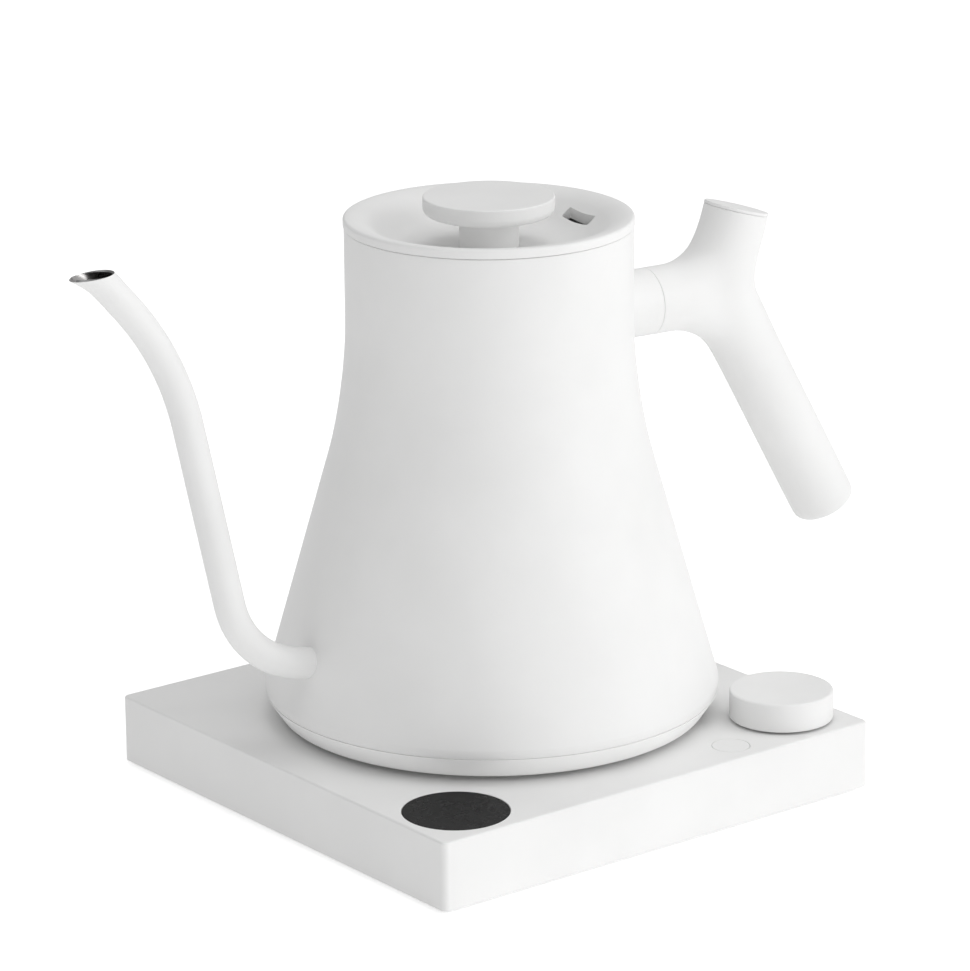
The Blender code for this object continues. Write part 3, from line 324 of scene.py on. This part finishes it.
moulded_white = matte_white("moulded_white", 0.85, 2600, 0.00002, 0.52)
side = 2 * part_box("base_cover")[1].x / MM
base_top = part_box("base_cover")[1].z / MM
display_at = seen_from_above("display_lens")
dial_at = seen_from_above("control_dial")
button_at = seen_from_above("power_button")
bm = block((-side / 2, -side / 2, 0), (side / 2, side / 2, base_top))
soften(bm, upright_edges(bm), 2.0, 8)
top_edge = [e for e in bm.edges if all(v.co.z > base_top - 0.01 for v in e.verts)]
soften(bm, top_edge, 0.7, 4)
foot_edge = [e for e in bm.edges if all(v.co.z < 0.01 for v in e.verts) and len(e.link_faces) == 2]
soften(bm, foot_edge, 0.4, 3)
cover_wall = 2.5
inner = side / 2 - cover_wall
display_hole, shaft_hole, button_hole, plug_hole = 16.75, 3.6, 6.1, 15.6
openings = ((display_at, display_hole), (dial_at, shaft_hole), (button_at, button_hole))
openings += (((0, 0), plug_hole),)
gland_hole, gland_x, gland_z = 5.8, 56, 12
bm = carve(
    bm,
    block((-inner, -inner, -5), (inner, inner, base_top - cover_wall)),
    *(rod(radius, (*at, base_top - 6), (*at, base_top + 3), 128) for at, radius in openings),
    rod(gland_hole, (gland_x, side / 2 - 10, gland_z), (gland_x, side / 2 + 10, gland_z), 64),
)
for at, radius in openings:
    soften(bm, ring_at(bm, at, radius, base_top), 0.12, 3)
piece("base_shell", bm, moulded_white, "base", ["base_cover"])

# ---------------------------------------------------------------- base underside
# A grey plate closes the base from below. It is held by four screws in recesses and stands on four round
# rubber feet with a fine ribbed sole.
def grained(name, colour, roughness, grain=2400, relief=0.00002, contrast=0.12, metallic=0.0):
    """A plain moulded or cast surface with fine grain and slightly uneven tone."""
    n = Nodes(name)
    cloud = n.noise(60, 4)
    fine = n.noise(grain, 3, 0.6)
    low = (*(c * (1 - contrast) for c in colour), 1)
    high = (*(c * (1 + contrast) for c in colour), 1)
    tone = n.blend(n.spread(cloud, 0, 1), low, high)
    gloss = n.total(n.spread(cloud, roughness - 0.04, roughness + 0.04), n.spread(fine, -0.05, 0.05))
    return n.finish(Base_Color=tone, Roughness=gloss, Metallic=metallic, Normal=n.bump(fine, relief, 0.6))


def turned(outline, steps=128, closed=False, at=(0, 0)):
    """Spins an outline of (radius, height, rounding, segments) in millimetres round an upright axis."""
    bm = bmesh.new()
    corners = [(*corner, 0, 0)[:4] for corner in outline]
    verts = [bm.verts.new((radius, 0, height)) for radius, height, *_ in corners]
    edges = [bm.edges.new(pair) for pair in zip(verts, verts[1:])]
    if closed:
        edges.append(bm.edges.new((verts[-1], verts[0])))
    bmesh.ops.spin(
        bm, geom=verts + edges, cent=(0, 0, 0), axis=(0, 0, 1), angle=math.tau, steps=steps, use_merge=True
    )
    bmesh.ops.remove_doubles(bm, verts=bm.verts, dist=0.0005)
    bmesh.ops.recalc_face_normals(bm, faces=bm.faces)
    for radius, height, rounding, segments in corners:
        if rounding:
            soften(bm, ring_at(bm, (0, 0), radius, height), rounding, segments)
    bmesh.ops.translate(bm, verts=bm.verts, vec=(*at, 0))
    return bm


pan_grey = grained("pan_grey", (0.33, 0.34, 0.35), 0.5)
sole_rubber = grained("sole_rubber", (0.045, 0.045, 0.045), 0.8, 1800, 0.00004)
nodes["base_pan"].data.materials[0] = pan_grey
sole_radius = 8.0
for name in ("front_left", "front_right", "rear_left", "rear_right"):
    bottom, top = (corner.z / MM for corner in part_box(f"rubber_foot_{name}"))
    groove_top = bottom + 0.3
    sole = [(0, bottom)]
    for groove in (1.6, 3.0, 4.4, 5.8):
        sole += [(groove - 0.35, bottom), (groove - 0.2, groove_top)]
        sole += [(groove + 0.2, groove_top), (groove + 0.35, bottom)]
    sole += [(sole_radius, bottom, 0.45, 4), (sole_radius, top, 0.2, 2), (0, top)]
    bm = turned(sole, 64, at=seen_from_above(f"rubber_foot_{name}"))
    piece(f"sole_{name}", bm, sole_rubber, "base", [f"rubber_foot_{name}"])


def spun_metal(name, colour, roughness, rings=2600, at=(0, 0), relief=0.000004):
    """Metal faced on a lathe: fine rings round its axis, and a little unevenness in gloss."""
    n = Nodes(name)
    shift = n.put(n.add("ShaderNodeMapping"), Vector=n.place)
    shift.inputs["Location"].default_value = (-at[0] * MM, -at[1] * MM, 0)
    flat = n.add("ShaderNodeVectorMath", operation="MULTIPLY")
    n.put(flat, i0=shift.outputs[0], i1=(1, 1, 0))
    reach = n.add("ShaderNodeVectorMath", operation="LENGTH")
    n.put(reach, i0=flat.outputs[0])
    line = n.add("ShaderNodeTexNoise", noise_dimensions="1D")
    n.put(line, W=reach.outputs["Value"], Scale=rings, Detail=3.0)
    cloud = n.noise(90, 3)
    darker = (*(c * 0.93 for c in colour), 1)
    tone = n.blend(n.spread(line.outputs["Fac"], 0, 1), darker, (*colour, 1))
    across_rings = n.spread(line.outputs["Fac"], -0.05, 0.05)
    gloss = n.total(n.spread(cloud, roughness - 0.03, roughness + 0.03), across_rings)
    normal = n.bump(line.outputs["Fac"], relief, 0.5)
    return n.finish(Base_Color=tone, Roughness=gloss, Metallic=1.0, Normal=normal)


def cross_head(radius, low, high, tip, shank, at):
    """A pan-head screw driven upwards, its cross recess facing down."""
    outline = [(0, low), (radius * 0.55, low, 0.3, 3), (radius, low + 0.5, 0.4, 3), (radius, high, 0.1, 2)]
    outline += [(shank, high), (shank, tip - 0.8), (shank * 0.3, tip), (0, tip)]
    arm, slot, depth = radius * 0.55, 0.35, 0.9
    x, y = at
    first = block((x - arm, y - slot, low - 1), (x + arm, y + slot, low + depth))
    second = block((x - slot, y - arm, low - 1), (x + slot, y + arm, low + depth))
    return carve(turned(outline, 48, at=at), first, second)


screw_zinc = grained("screw_zinc", (0.62, 0.62, 0.6), 0.3, 3000, 0.00001, 0.06, 1.0)
for number in (1, 2, 3, 4):
    low, high = (corner.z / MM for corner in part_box(f"pan_screw_{number}"))
    bm = cross_head(2.8, low, low + 1.6, high, 1.3, seen_from_above(f"pan_screw_{number}"))
    piece(f"base_screw_{number}", bm, screw_zinc, "base", [f"pan_screw_{number}"])

# ---------------------------------------------------------------- display
# A flat disc of smoked acrylic, flush with the base's top in the front left corner, over a dark panel. It is
# bonded on a ledge in the cover and stays black until the base is switched on.
n = Nodes("smoked_acrylic")
cloud = n.noise(70, 3)
wiped = n.noise(420, 3, 0.6)
tone = n.blend(n.spread(cloud, 0, 1), (0.0090, 0.0090, 0.0093, 1), (0.0094, 0.0094, 0.0097, 1))
gloss = n.total(n.spread(cloud, 0.26, 0.28), n.spread(wiped, -0.01, 0.01))
n.put(n.shader, Specular_IOR_Level=0.06)
smoked = n.finish(Base_Color=tone, Roughness=gloss, Normal=n.bump(wiped, 0.0000005, 0.1))
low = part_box("display_lens")[0].z / MM
disc_top, disc_radius = base_top - 0.05, display_hole - 0.15
outline = [(0, disc_top), (disc_radius, disc_top, 0.2, 3), (disc_radius, low), (0, low)]
bm = turned(outline, 128, at=display_at)
piece("display_disc", bm, smoked, "base", ["display_lens"])

# ---------------------------------------------------------------- dial
# A round white knob in the front right corner, turned and pressed. It is one moulding with a faintly dished
# top and a small edge radius, pushed on a steel shaft, and it stands clear of the base by a dark gap.
low, high = (corner.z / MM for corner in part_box("control_dial"))
dial_radius, bore_radius, bore_end = 16.7, 3.3, high - 2
outline = [(0, high - 0.35), (9.5, high - 0.28), (14.6, high - 0.02, 1.4, 4), (dial_radius, high, 0.75, 6)]
outline += [(dial_radius, low, 0.35, 3), (bore_radius, low), (bore_radius, bore_end), (0, bore_end)]
bm = turned(outline, 160, at=dial_at)
piece("dial", bm, moulded_white, "dial", ["control_dial"])
shaft_steel = spun_metal("shaft_steel", (0.6, 0.6, 0.59), 0.25, at=dial_at)
nodes["dial_shaft"].data.materials[0] = shaft_steel

# ---------------------------------------------------------------- power button
# A small round cap, flush with the top between display and dial, with a hairline gap round it. Its flange
# holds it under the cover and its stem presses the switch on the board.
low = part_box("power_button")[0].z / MM
cap_radius, flange_radius, stem_radius = button_hole - 0.12, 7.1, 1.5
flange_top, flange_low = base_top - 2.8, base_top - 3.7
outline = [(0, base_top), (cap_radius, base_top, 0.12, 3), (cap_radius, flange_top)]
outline += [(flange_radius, flange_top), (flange_radius, flange_low)]
outline += [(stem_radius, flange_low), (stem_radius, low), (0, low)]
bm = turned(outline, 96, at=button_at)
piece("button", bm, moulded_white, "button", ["power_button"])

# ---------------------------------------------------------------- connector of the base
# The round black plug that the kettle drops over at any angle: glass-filled nylon with a ring groove and a
# central well for the brass contacts.
nylon_black = grained("nylon_black", (0.022, 0.022, 0.024), 0.45, 2000, 0.00002)
contact_brass = spun_metal("contact_brass", (0.80, 0.62, 0.30), 0.22)
low, high = (corner.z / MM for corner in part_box("power_connector"))
plug_radius, flange_radius, well_radius, pin_hole = 15.0, 20.0, 4.6, 1.6
flange_top, flange_low = base_top - 2.8, base_top - 4.8
groove_floor = base_top + 2
outline = [(well_radius, high, 0.5, 4), (8.0, high, 0.4, 4), (8.0, groove_floor), (10.5, groove_floor)]
outline += [(10.5, high, 0.4, 4), (plug_radius, high, 1.1, 6), (plug_radius, flange_top)]
outline += [(flange_radius, flange_top), (flange_radius, flange_low), (plug_radius, flange_low)]
outline += [(plug_radius, low), (pin_hole, low), (pin_hole, groove_floor), (well_radius, groove_floor)]
bm = turned(outline, 128, closed=True)
piece("base_plug", bm, nylon_black, "base", ["power_connector"])
low, high = (corner.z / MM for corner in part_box("power_connector_pin"))
pin_radius = 1.3
bm = turned([(0, high), (pin_radius, high, 0.55, 5), (pin_radius, low), (0, low)], 48)
piece("base_pin", bm, contact_brass, "base", ["power_connector_pin"])

# ---------------------------------------------------------------- cord inlet
# A black gland through the back wall of the base, held by a flange inside, with a flared mouth for the cord.
low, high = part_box("cord_inlet")
gland_start = Vector(((low.x + high.x) / 2, low.y, (low.z + high.z) / 2)) / MM
gland_length = (high.y - low.y) / MM
bore_radius, tube_radius, flange_radius = 3.6, 5.5, 7.2
flange_start, flange_end = 1.7, 3.1
outline = [(bore_radius, 0), (tube_radius, 0), (tube_radius, flange_start), (flange_radius, flange_start)]
outline += [(flange_radius, flange_end), (tube_radius, flange_end), (tube_radius, gland_length, 0.3, 3)]
outline += [(bore_radius, gland_length, 0.8, 5)]
bm = turned(outline, 64, closed=True)
backwards = Matrix.Translation(gland_start) @ Matrix.Rotation(math.radians(-90), 4, "X")
bmesh.ops.transform(bm, verts=bm.verts, matrix=backwards)
piece("cord_gland", bm, nylon_black, "base", ["cord_inlet"])

# ---------------------------------------------------------------- foot of the kettle
# A white moulded shoe, screwed up under the vessel. Its tapering band is all that shows below the body's
# lower edge, and its floor carries the round socket.
foot_gap = 1.6
kettle_zero = base_top + foot_gap
kettle_turn = Matrix.Rotation(math.radians(-6), 4, "Z")
in_kettle = Matrix.Translation((0, 0, kettle_zero)) @ kettle_turn


def set_down(bm):
    """Takes a shape from the kettle's own axes, with the rim of its foot at zero, to where it stands."""
    bmesh.ops.transform(bm, matrix=in_kettle, verts=bm.verts)
    return bm


# The shoe's white is painted lighter than the other white mouldings: painted bounce light on its down-facing
# band, which sits in shade under the vessel.
shoe_painted_bounce_white = matte_white("shoe_painted_bounce_white", 0.96, 2600, 0.00002, 0.5)
foot_hole, band_top, sole_low, sole_up = 20.7, 7.3, -0.7, 1.1
outline = [(71.1, band_top, 0.2, 2), (73.2, band_top, 0.12, 3), (68.55, 0.4, 0.7, 4), (67.4, 0.0, 0.3, 2)]
outline += [(61.9, 0.0, 0.3, 2), (61.4, sole_low, 0.3, 3), (foot_hole, sole_low, 0.3, 3)]
outline += [(foot_hole, sole_up), (65.0, sole_up), (69.0, 1.8)]
bm = turned(outline, 192, closed=True)
screw_reach, head_recess, screw_hole = 53, 2.9, 1.6
screw_angles = [math.radians(angle) for angle in (30, 150, 270)]
screw_places = [(screw_reach * math.cos(angle), screw_reach * math.sin(angle)) for angle in screw_angles]
recesses = [rod(head_recess, (*at, -3), (*at, 0.4), 48) for at in screw_places]
screw_holes = [rod(screw_hole, (*at, 0.2), (*at, 5), 32) for at in screw_places]
bm = set_down(carve(bm, *recesses, *screw_holes))
piece("foot_shoe", bm, shoe_painted_bounce_white, "kettle", ["kettle_foot"])
for number in (1, 2, 3):
    low, high = (corner.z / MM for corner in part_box(f"foot_screw_{number}"))
    bm = cross_head(2.5, low, low + 1.5, high, 1.2, seen_from_above(f"foot_screw_{number}"))
    piece(f"shoe_screw_{number}", bm, screw_zinc, "kettle", [f"foot_screw_{number}"])

# ---------------------------------------------------------------- socket of the kettle
# The kettle's half of the connector: a black nylon cup with a stem in its middle, which carries a sprung
# brass ring. It snaps into the shoe and drops over the base's plug.
low, high = (corner.z / MM - kettle_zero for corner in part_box("kettle_connector"))
ceiling, stem_end, well_end = high - 1.2, 1.6, high - 0.9
cup_radius, flange_radius, cup_bore, stem_radius, pin_well = 20.4, 23.4, 15.6, 4.0, 1.9
outline = [(0, high), (cup_radius, high), (cup_radius, 2.6), (flange_radius, 2.6), (flange_radius, 1.4)]
outline += [(cup_radius, 1.4), (cup_radius, low, 0.4, 4), (cup_bore, low, 0.9, 5)]
outline += [(cup_bore, ceiling, 0.6, 4), (stem_radius, ceiling), (stem_radius, stem_end, 0.3, 3)]
outline += [(pin_well, stem_end, 0.4, 3), (pin_well, well_end), (0, well_end)]
bm = set_down(turned(outline, 128))
piece("kettle_socket", bm, nylon_black, "kettle", ["kettle_connector"])
low, high = (corner.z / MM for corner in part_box("kettle_contact_ring"))
ring_inside, ring_outside = 8.6, 9.9
outline = [(ring_inside, high), (ring_outside, high)]
outline += [(ring_outside, low, 0.4, 4), (ring_inside, low, 0.4, 4)]
bm = turned(outline, 96, closed=True)
piece("socket_ring", bm, contact_brass, "kettle", ["kettle_contact_ring"])

# ---------------------------------------------------------------- vessel
# Drawn stainless steel, 1 mm thick: a straight neck that runs through one long hollow curve into a cone. It
# is powder coated matte white outside and bare brushed steel inside.
steel_inside = spun_metal("steel_inside", (0.60, 0.59, 0.575), 0.3, 900, relief=0.00001)
powder_coat = matte_white("powder_coat", 0.85, 1700, 0.00003, 0.5)
neck, mouth, wall = 45.6, 159.3, 1.0
cone_angle, corner, bow_radius = math.radians(15.9), 106.4, 158
hem_top, hem = 9.1, 7.36
skirt = neck + (corner - hem_top) * math.tan(cone_angle)
bow = bow_radius * math.tan(cone_angle / 2)
outline = [(neck, mouth, 0.3, 3), (neck, corner, bow, 28), (skirt, hem_top, 1.4, 5)]
outline += [(skirt - 0.35, hem, 0.15, 3), (skirt - 1.25, hem, 0.2, 2)]
outline += [(neck - wall, corner, bow, 28), (neck - wall, mouth, 0.2, 2)]
bm = turned(outline, 192, closed=True)
root, root_rise, root_hole = Vector((-69.8, 0, 27.1)), 12, 4.25
root_way = Vector((-math.cos(math.radians(root_rise)), 0, math.sin(math.radians(root_rise))))
bm = carve(bm, rod(root_hole, root - 12 * root_way, root + 12 * root_way, 48))
for face in bm.faces:
    middle = face.calc_center_median()
    outward = Vector((middle.x, middle.y, 0)).normalized()
    face.material_index = 1 if face.normal.dot(outward) < -0.3 else 0
set_down(bm)
piece("vessel", bm, [powder_coat, steel_inside], "kettle", ["kettle_body"])
for name in ("heater_plate", "temperature_probe"):
    nodes[name].data.materials[0] = steel_inside

# ---------------------------------------------------------------- gooseneck spout
# A thin steel tube bent into a gooseneck and brazed into the vessel near its foot. It is coated like the
# vessel and cut nearly level at the mouth, its front lip a little lower. The cut and the inside are bare.
outer_radius, tip_radius, tube_wall = 5.05, 4.85, 0.8


def spout_line():
    """The tube's middle line, as places and bearings, from inside the wall to past the cut.

    A straight run is (length, bearing, steps). An arc is (None, bearing at its end, radius, steps).
    """
    runs = ((9.0, root_rise, 3), (None, 77.8, 30, 16), (61.1, 77.8, 8), (None, 49.6, 93, 14))
    runs += ((9.0, 49.6, 3), (None, 33, 30, 6), (8.0, 33, 3))
    at, bearing = root - 6 * root_way, root_rise
    places = [(at.copy(), bearing)]
    for length, target, *rest in runs:
        steps = rest[-1]
        if length is None:
            turn = (target - bearing) / steps
            stride = 2 * rest[0] * math.sin(math.radians(abs(turn)) / 2)
        else:
            turn, stride = 0, length / steps
        for _ in range(steps):
            way = math.radians(bearing + turn / 2)
            at = at + stride * Vector((-math.cos(way), 0, math.sin(way)))
            bearing += turn
            places.append((at.copy(), bearing))
    return places


line = spout_line()
spout_mouth, cut_tilt = Vector((-139.9, 0, 162.5)), math.radians(4.9)
level_way = Vector((-math.sin(cut_tilt), 0, math.cos(cut_tilt)))
bm = bmesh.new()
rings = []
for number, (at, bearing) in enumerate(line):
    share = number / (len(line) - 1)
    radius = outer_radius + (tip_radius - outer_radius) * share
    way = math.radians(bearing)
    along = Vector((-math.cos(way), 0, math.sin(way)))
    across = Vector((along.z, 0, -along.x))
    turn = Matrix((across, along.cross(across), along)).transposed().to_4x4()
    place = Matrix.Translation(at) @ turn
    ring = bmesh.ops.create_circle(bm, cap_ends=False, segments=40, radius=radius, matrix=place)
    rings.append(ring["verts"])


def loop_of(verts):
    """The edges that join the corners given."""
    chosen = set(verts)
    return [e for e in {e for v in verts for e in v.link_edges} if all(v in chosen for v in e.verts)]


for first, second in zip(rings, rings[1:]):
    bmesh.ops.bridge_loops(bm, edges=loop_of(first) + loop_of(second))
geometry = list(bm.verts) + list(bm.edges) + list(bm.faces)
bmesh.ops.bisect_plane(bm, geom=geometry, plane_co=spout_mouth, plane_no=level_way, clear_outer=True)
bmesh.ops.recalc_face_normals(bm, faces=bm.faces)
outside = set(bm.faces)
bmesh.ops.solidify(bm, geom=list(bm.faces), thickness=-tube_wall)
bmesh.ops.recalc_face_normals(bm, faces=bm.faces)
for face in bm.faces:
    off_cut = abs((face.calc_center_median() - spout_mouth).dot(level_way))
    on_cut = off_cut < 0.3 and abs(face.normal.dot(level_way)) > 0.7
    face.material_index = 2 if on_cut else 0 if face in outside else 1
set_down(bm)
polished = spun_metal("polished_steel", (0.56, 0.55, 0.545), 0.3, 300, relief=0.000002)
cut_steel = grained("cut_steel", (0.26, 0.26, 0.26), 0.45, 3000, 0.00001, 0.08, 1.0)
piece("gooseneck", bm, [powder_coat, polished, cut_steel], "kettle", ["spout"])

# ---------------------------------------------------------------- handle post
# A short round steel stub, welded to the neck and coated with it. It ends at the hairline seam where the
# grip begins.
arm_height, arm_radius, arm_start, arm_seam = 125.7, 10.95, 43.8, 59.5
bm = rod(arm_radius, (arm_start, 0, arm_height), (arm_seam, 0, arm_height), 96)
end_rim = [e for e in bm.edges if all(v.co.x > arm_seam - 0.01 for v in e.verts)]
soften(bm, end_rim, 0.15, 3)
set_down(bm)
piece("grip_post", bm, powder_coat, "kettle", ["handle_post"])

# ---------------------------------------------------------------- grip
# One white moulding with three round limbs: a collar over the post, a short stub that leans out above it,
# and the long slanting leg the hand holds. It is drawn tight by a bolt down the stub.
reach, stub_tilt, leg_tilt = 87.5, math.radians(15.5), math.radians(28.9)
stub_radius, stub_length = 10.7, 27.7
leg_radius, leg_length = 10.8, 91.1
hub = Vector((reach, 0, arm_height))
up = Vector((math.sin(stub_tilt), 0, math.cos(stub_tilt)))
down = Vector((math.sin(leg_tilt), 0, -math.cos(leg_tilt)))
spread = 1 / 0.902  # an eight-sided cage shrinks by this much as it is subdivided


def cage_ring(bm, middle, axis, radius, width=1.0):
    """Eight corners round axis. width scales the ring in the handle's own plane."""
    across = Vector((axis.z, 0, -axis.x)).normalized()
    turn = Matrix((across, Vector((0, 1, 0)), axis.normalized())).transposed().to_4x4()
    size = Matrix.Diagonal((width * radius * spread, radius * spread, radius * spread, 1))
    place = Matrix.Translation(middle) @ turn @ size
    return bmesh.ops.create_circle(bm, cap_ends=False, segments=8, radius=1, matrix=place)["verts"]


bm = bmesh.new()
stub_end = stub_length - 1.0
stub_shape = ((stub_end, 0.9), (stub_end, 0.985), (stub_end - 0.25, 1), (stub_end - 7, 1))
limb = [cage_ring(bm, hub + out * up, -up, stub_radius * share) for out, share in stub_shape]
limb.append(cage_ring(bm, hub + 11.5 * up - Vector((1.15, 0, 0)), -up, stub_radius, 1.067))
limb.append(cage_ring(bm, hub + Vector((0.9, 0, 0)), down - up, arm_radius))
limb.append(cage_ring(bm, hub + 11.5 * down, down, leg_radius, 1.06))
leg_shape = ((22, 1), (45, 1), (leg_length - 3, 1.005), (leg_length - 0.5, 0.985), (leg_length, 0.85))
limb += [cage_ring(bm, hub + out * down, down, leg_radius * share) for out, share in leg_shape]
for first, second in zip(limb, limb[1:]):
    bmesh.ops.bridge_loops(bm, edges=loop_of(first) + loop_of(second))
for end in (limb[0], limb[-1]):
    bmesh.ops.edgeloop_fill(bm, edges=loop_of(end))
middle = limb[5]
inmost = min(middle, key=lambda v: v.co.x)
for vert in middle:
    if vert is not inmost and vert.co.x < reach - 4:
        vert.co.x += 2.5
        vert.co.y *= 1.3
bmesh.ops.delete(bm, geom=[inmost], context="VERTS")
opening = [e for e in bm.edges if e.is_boundary]
collar, seam_gap = Vector((1, 0, 0)), 0.12
start = arm_seam + seam_gap
arm_shape = ((start, 0.9), (start, 0.992), (start + 0.15, 1), (start + 6, 1), (start + 12.5, 1))
arm = [cage_ring(bm, Vector((x, 0, arm_height)), collar, arm_radius * share) for x, share in arm_shape]
for first, second in zip(arm, arm[1:]):
    bmesh.ops.bridge_loops(bm, edges=loop_of(first) + loop_of(second))
bmesh.ops.edgeloop_fill(bm, edges=loop_of(arm[0]))
bmesh.ops.bridge_loops(bm, edges=opening + loop_of(arm[-1]))
bmesh.ops.recalc_face_normals(bm, faces=bm.faces)
set_down(bm)
grip = piece("grip", bm, moulded_white, "kettle", ["handle_grip"], sharp=180)
grip.modifiers.clear()
rounding = grip.modifiers.new("rounding", "SUBSURF")
rounding.levels = rounding.render_levels = 4

# ---------------------------------------------------------------- cap of the grip
# A thin white disc that plugs the bolt's well at the top of the stub, with a hairline seam under it.
cap_radius, cap_start = stub_radius - 0.02, stub_length - 0.97
bm = rod(cap_radius, hub + cap_start * up, hub + stub_length * up, 96)
soften(bm, [e for e in bm.edges if abs(e.calc_face_angle()) > 1], 0.14, 3)
set_down(bm)
piece("grip_cap", bm, moulded_white, "kettle", ["handle_cap"])

# ---------------------------------------------------------------- lid
# A white moulded disc with a raised rim and a deep dish, so that fingers reach under the knob. A slot
# through its slope lets out steam. A silicone ring and a steel underside close the vessel's mouth.
rim_low, lid_top, dish, under = 159.48, 162.4, 152.1, 150.2
rim_radius, skirt_radius, bolt_hole = 45.9, 43.2, 2.2
skirt_low, skirt_inside = 149.4, skirt_radius - 1.9
groove_low, groove_top, groove_radius = 151.8, 155.4, skirt_radius - 1
outline = [(bolt_hole, dish), (27.5, dish, 5.3, 12), (40.6, lid_top, 3.9, 12), (rim_radius, lid_top, 0.9, 5)]
outline += [(rim_radius, rim_low, 0.2, 3), (skirt_radius, rim_low), (skirt_radius, groove_top)]
outline += [(groove_radius, groove_top), (groove_radius, groove_low), (skirt_radius, groove_low)]
outline += [(skirt_radius, skirt_low, 0.3, 3), (skirt_inside, skirt_low), (skirt_inside, 160.3)]
outline += [(39.6, 160.3, 0.8, 3), (38.4, 156.6, 1.5, 6), (33.0, 153.4, 1.0, 4), (27.8, under, 2.0, 4)]
outline += [(bolt_hole, under)]
bm = turned(outline, 192, closed=True)
vent_corners = (31.95, -7.7, 140), (35.25, 7.3, 175)
vent = block(*vent_corners)
soften(vent, upright_edges(vent), 0.6, 4)
bm = set_down(carve(bm, vent))
piece("lid_dish", bm, moulded_white, "lid", ["lid_shell"])

silicone = grained("silicone", (0.62, 0.63, 0.64), 0.6, 2200, 0.00002, 0.04)
outline = [(42.5, 155.1), (44.0, 155.1, 0.2, 2), (44.3, 154.4, 0.2, 2), (43.7, 153.6, 0.2, 2)]
outline += [(44.3, 152.8, 0.2, 2), (44.0, 152.1, 0.2, 2), (42.5, 152.1)]
piece("lid_gasket", set_down(turned(outline, 160, closed=True)), silicone, "lid", ["lid_seal"])

spun_steel = spun_metal("spun_steel", (0.62, 0.61, 0.60), 0.26, 1500, relief=0.000006)
plate_top, plate_low = 149.1, 148.3
outline = [(bolt_hole, plate_top), (skirt_radius, plate_top, 0.2, 2), (skirt_radius, plate_low, 0.3, 3)]
outline += [(bolt_hole, plate_low)]
bm = set_down(carve(turned(outline, 160, closed=True), block(*vent_corners)))
piece("lid_plate", bm, spun_steel, "lid", ["lid_cup"])
low, high = (corner.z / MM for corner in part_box("lid_screw"))
bm = cross_head(3.6, low, low + 1.8, high, 1.8, (0, 0))
piece("lid_bolt", bm, screw_zinc, "lid", ["lid_screw"])

# ---------------------------------------------------------------- knob of the lid
# A flat white mushroom: a thick disc with a round lower edge over a slender neck, moulded in one and drawn
# down into the dish by the screw from below.
knob_top, knob_radius = 168.6, 20.8
neck_radius, neck_low, hole_end = 9.4, dish + 0.3, 164
outline = [(0, knob_top - 0.08), (knob_radius, knob_top, 0.5, 5), (knob_radius, knob_top - 5.7, 2.3, 8)]
outline += [(12.4, knob_top - 6.5, 1.0, 3), (neck_radius, knob_top - 7.2, 1.9, 8), (neck_radius, neck_low)]
outline += [(bolt_hole, neck_low), (bolt_hole, hole_end), (0, hole_end)]
piece("knob", set_down(turned(outline, 160)), moulded_white, "lid", ["lid_knob"])

# ---------------------------------------------------------------- hidden works
# Inside the base: two green circuit boards on posts, their parts and screws, the encoder under the dial and
# the switch under the button. Inside the foot: the cast spreader, the tube heater and its cut-out. Inside
# the grip: its bolt.
board_green = grained("board_green", (0.02, 0.13, 0.06), 0.4, 900, 0.00001, 0.2)
part_black = grained("part_black", (0.03, 0.03, 0.033), 0.45)
part_grey = grained("part_grey", (0.3, 0.31, 0.32), 0.5)
cast_aluminium = grained("cast_aluminium", (0.6, 0.61, 0.62), 0.42, 1400, 0.00004, 0.06, 1.0)
heater_steel = grained("heater_steel", (0.5, 0.49, 0.47), 0.35, 1800, 0.00002, 0.08, 1.0)
works = {
    board_green: ("control_board", "power_board"),
    part_black: (
        "display_panel", "power_relay", "power_supply_module",
        "buzzer", "switch_plunger", "thermal_cutout",
    ),
    part_grey: ("button_switch", "encoder_rotor", "filter_capacitor"),
    cast_aluminium: ("heat_spreader", "encoder_body"),
    heater_steel: ("heating_element", "handle_bolt"),
    screw_zinc: (
        "power_board_screw_1", "power_board_screw_2", "power_board_screw_3", "power_board_screw_4",
        "control_board_screw_1", "control_board_screw_2",
    ),
}
for look, names in works.items():
    for name in names:
        nodes[name].data.materials[0] = look
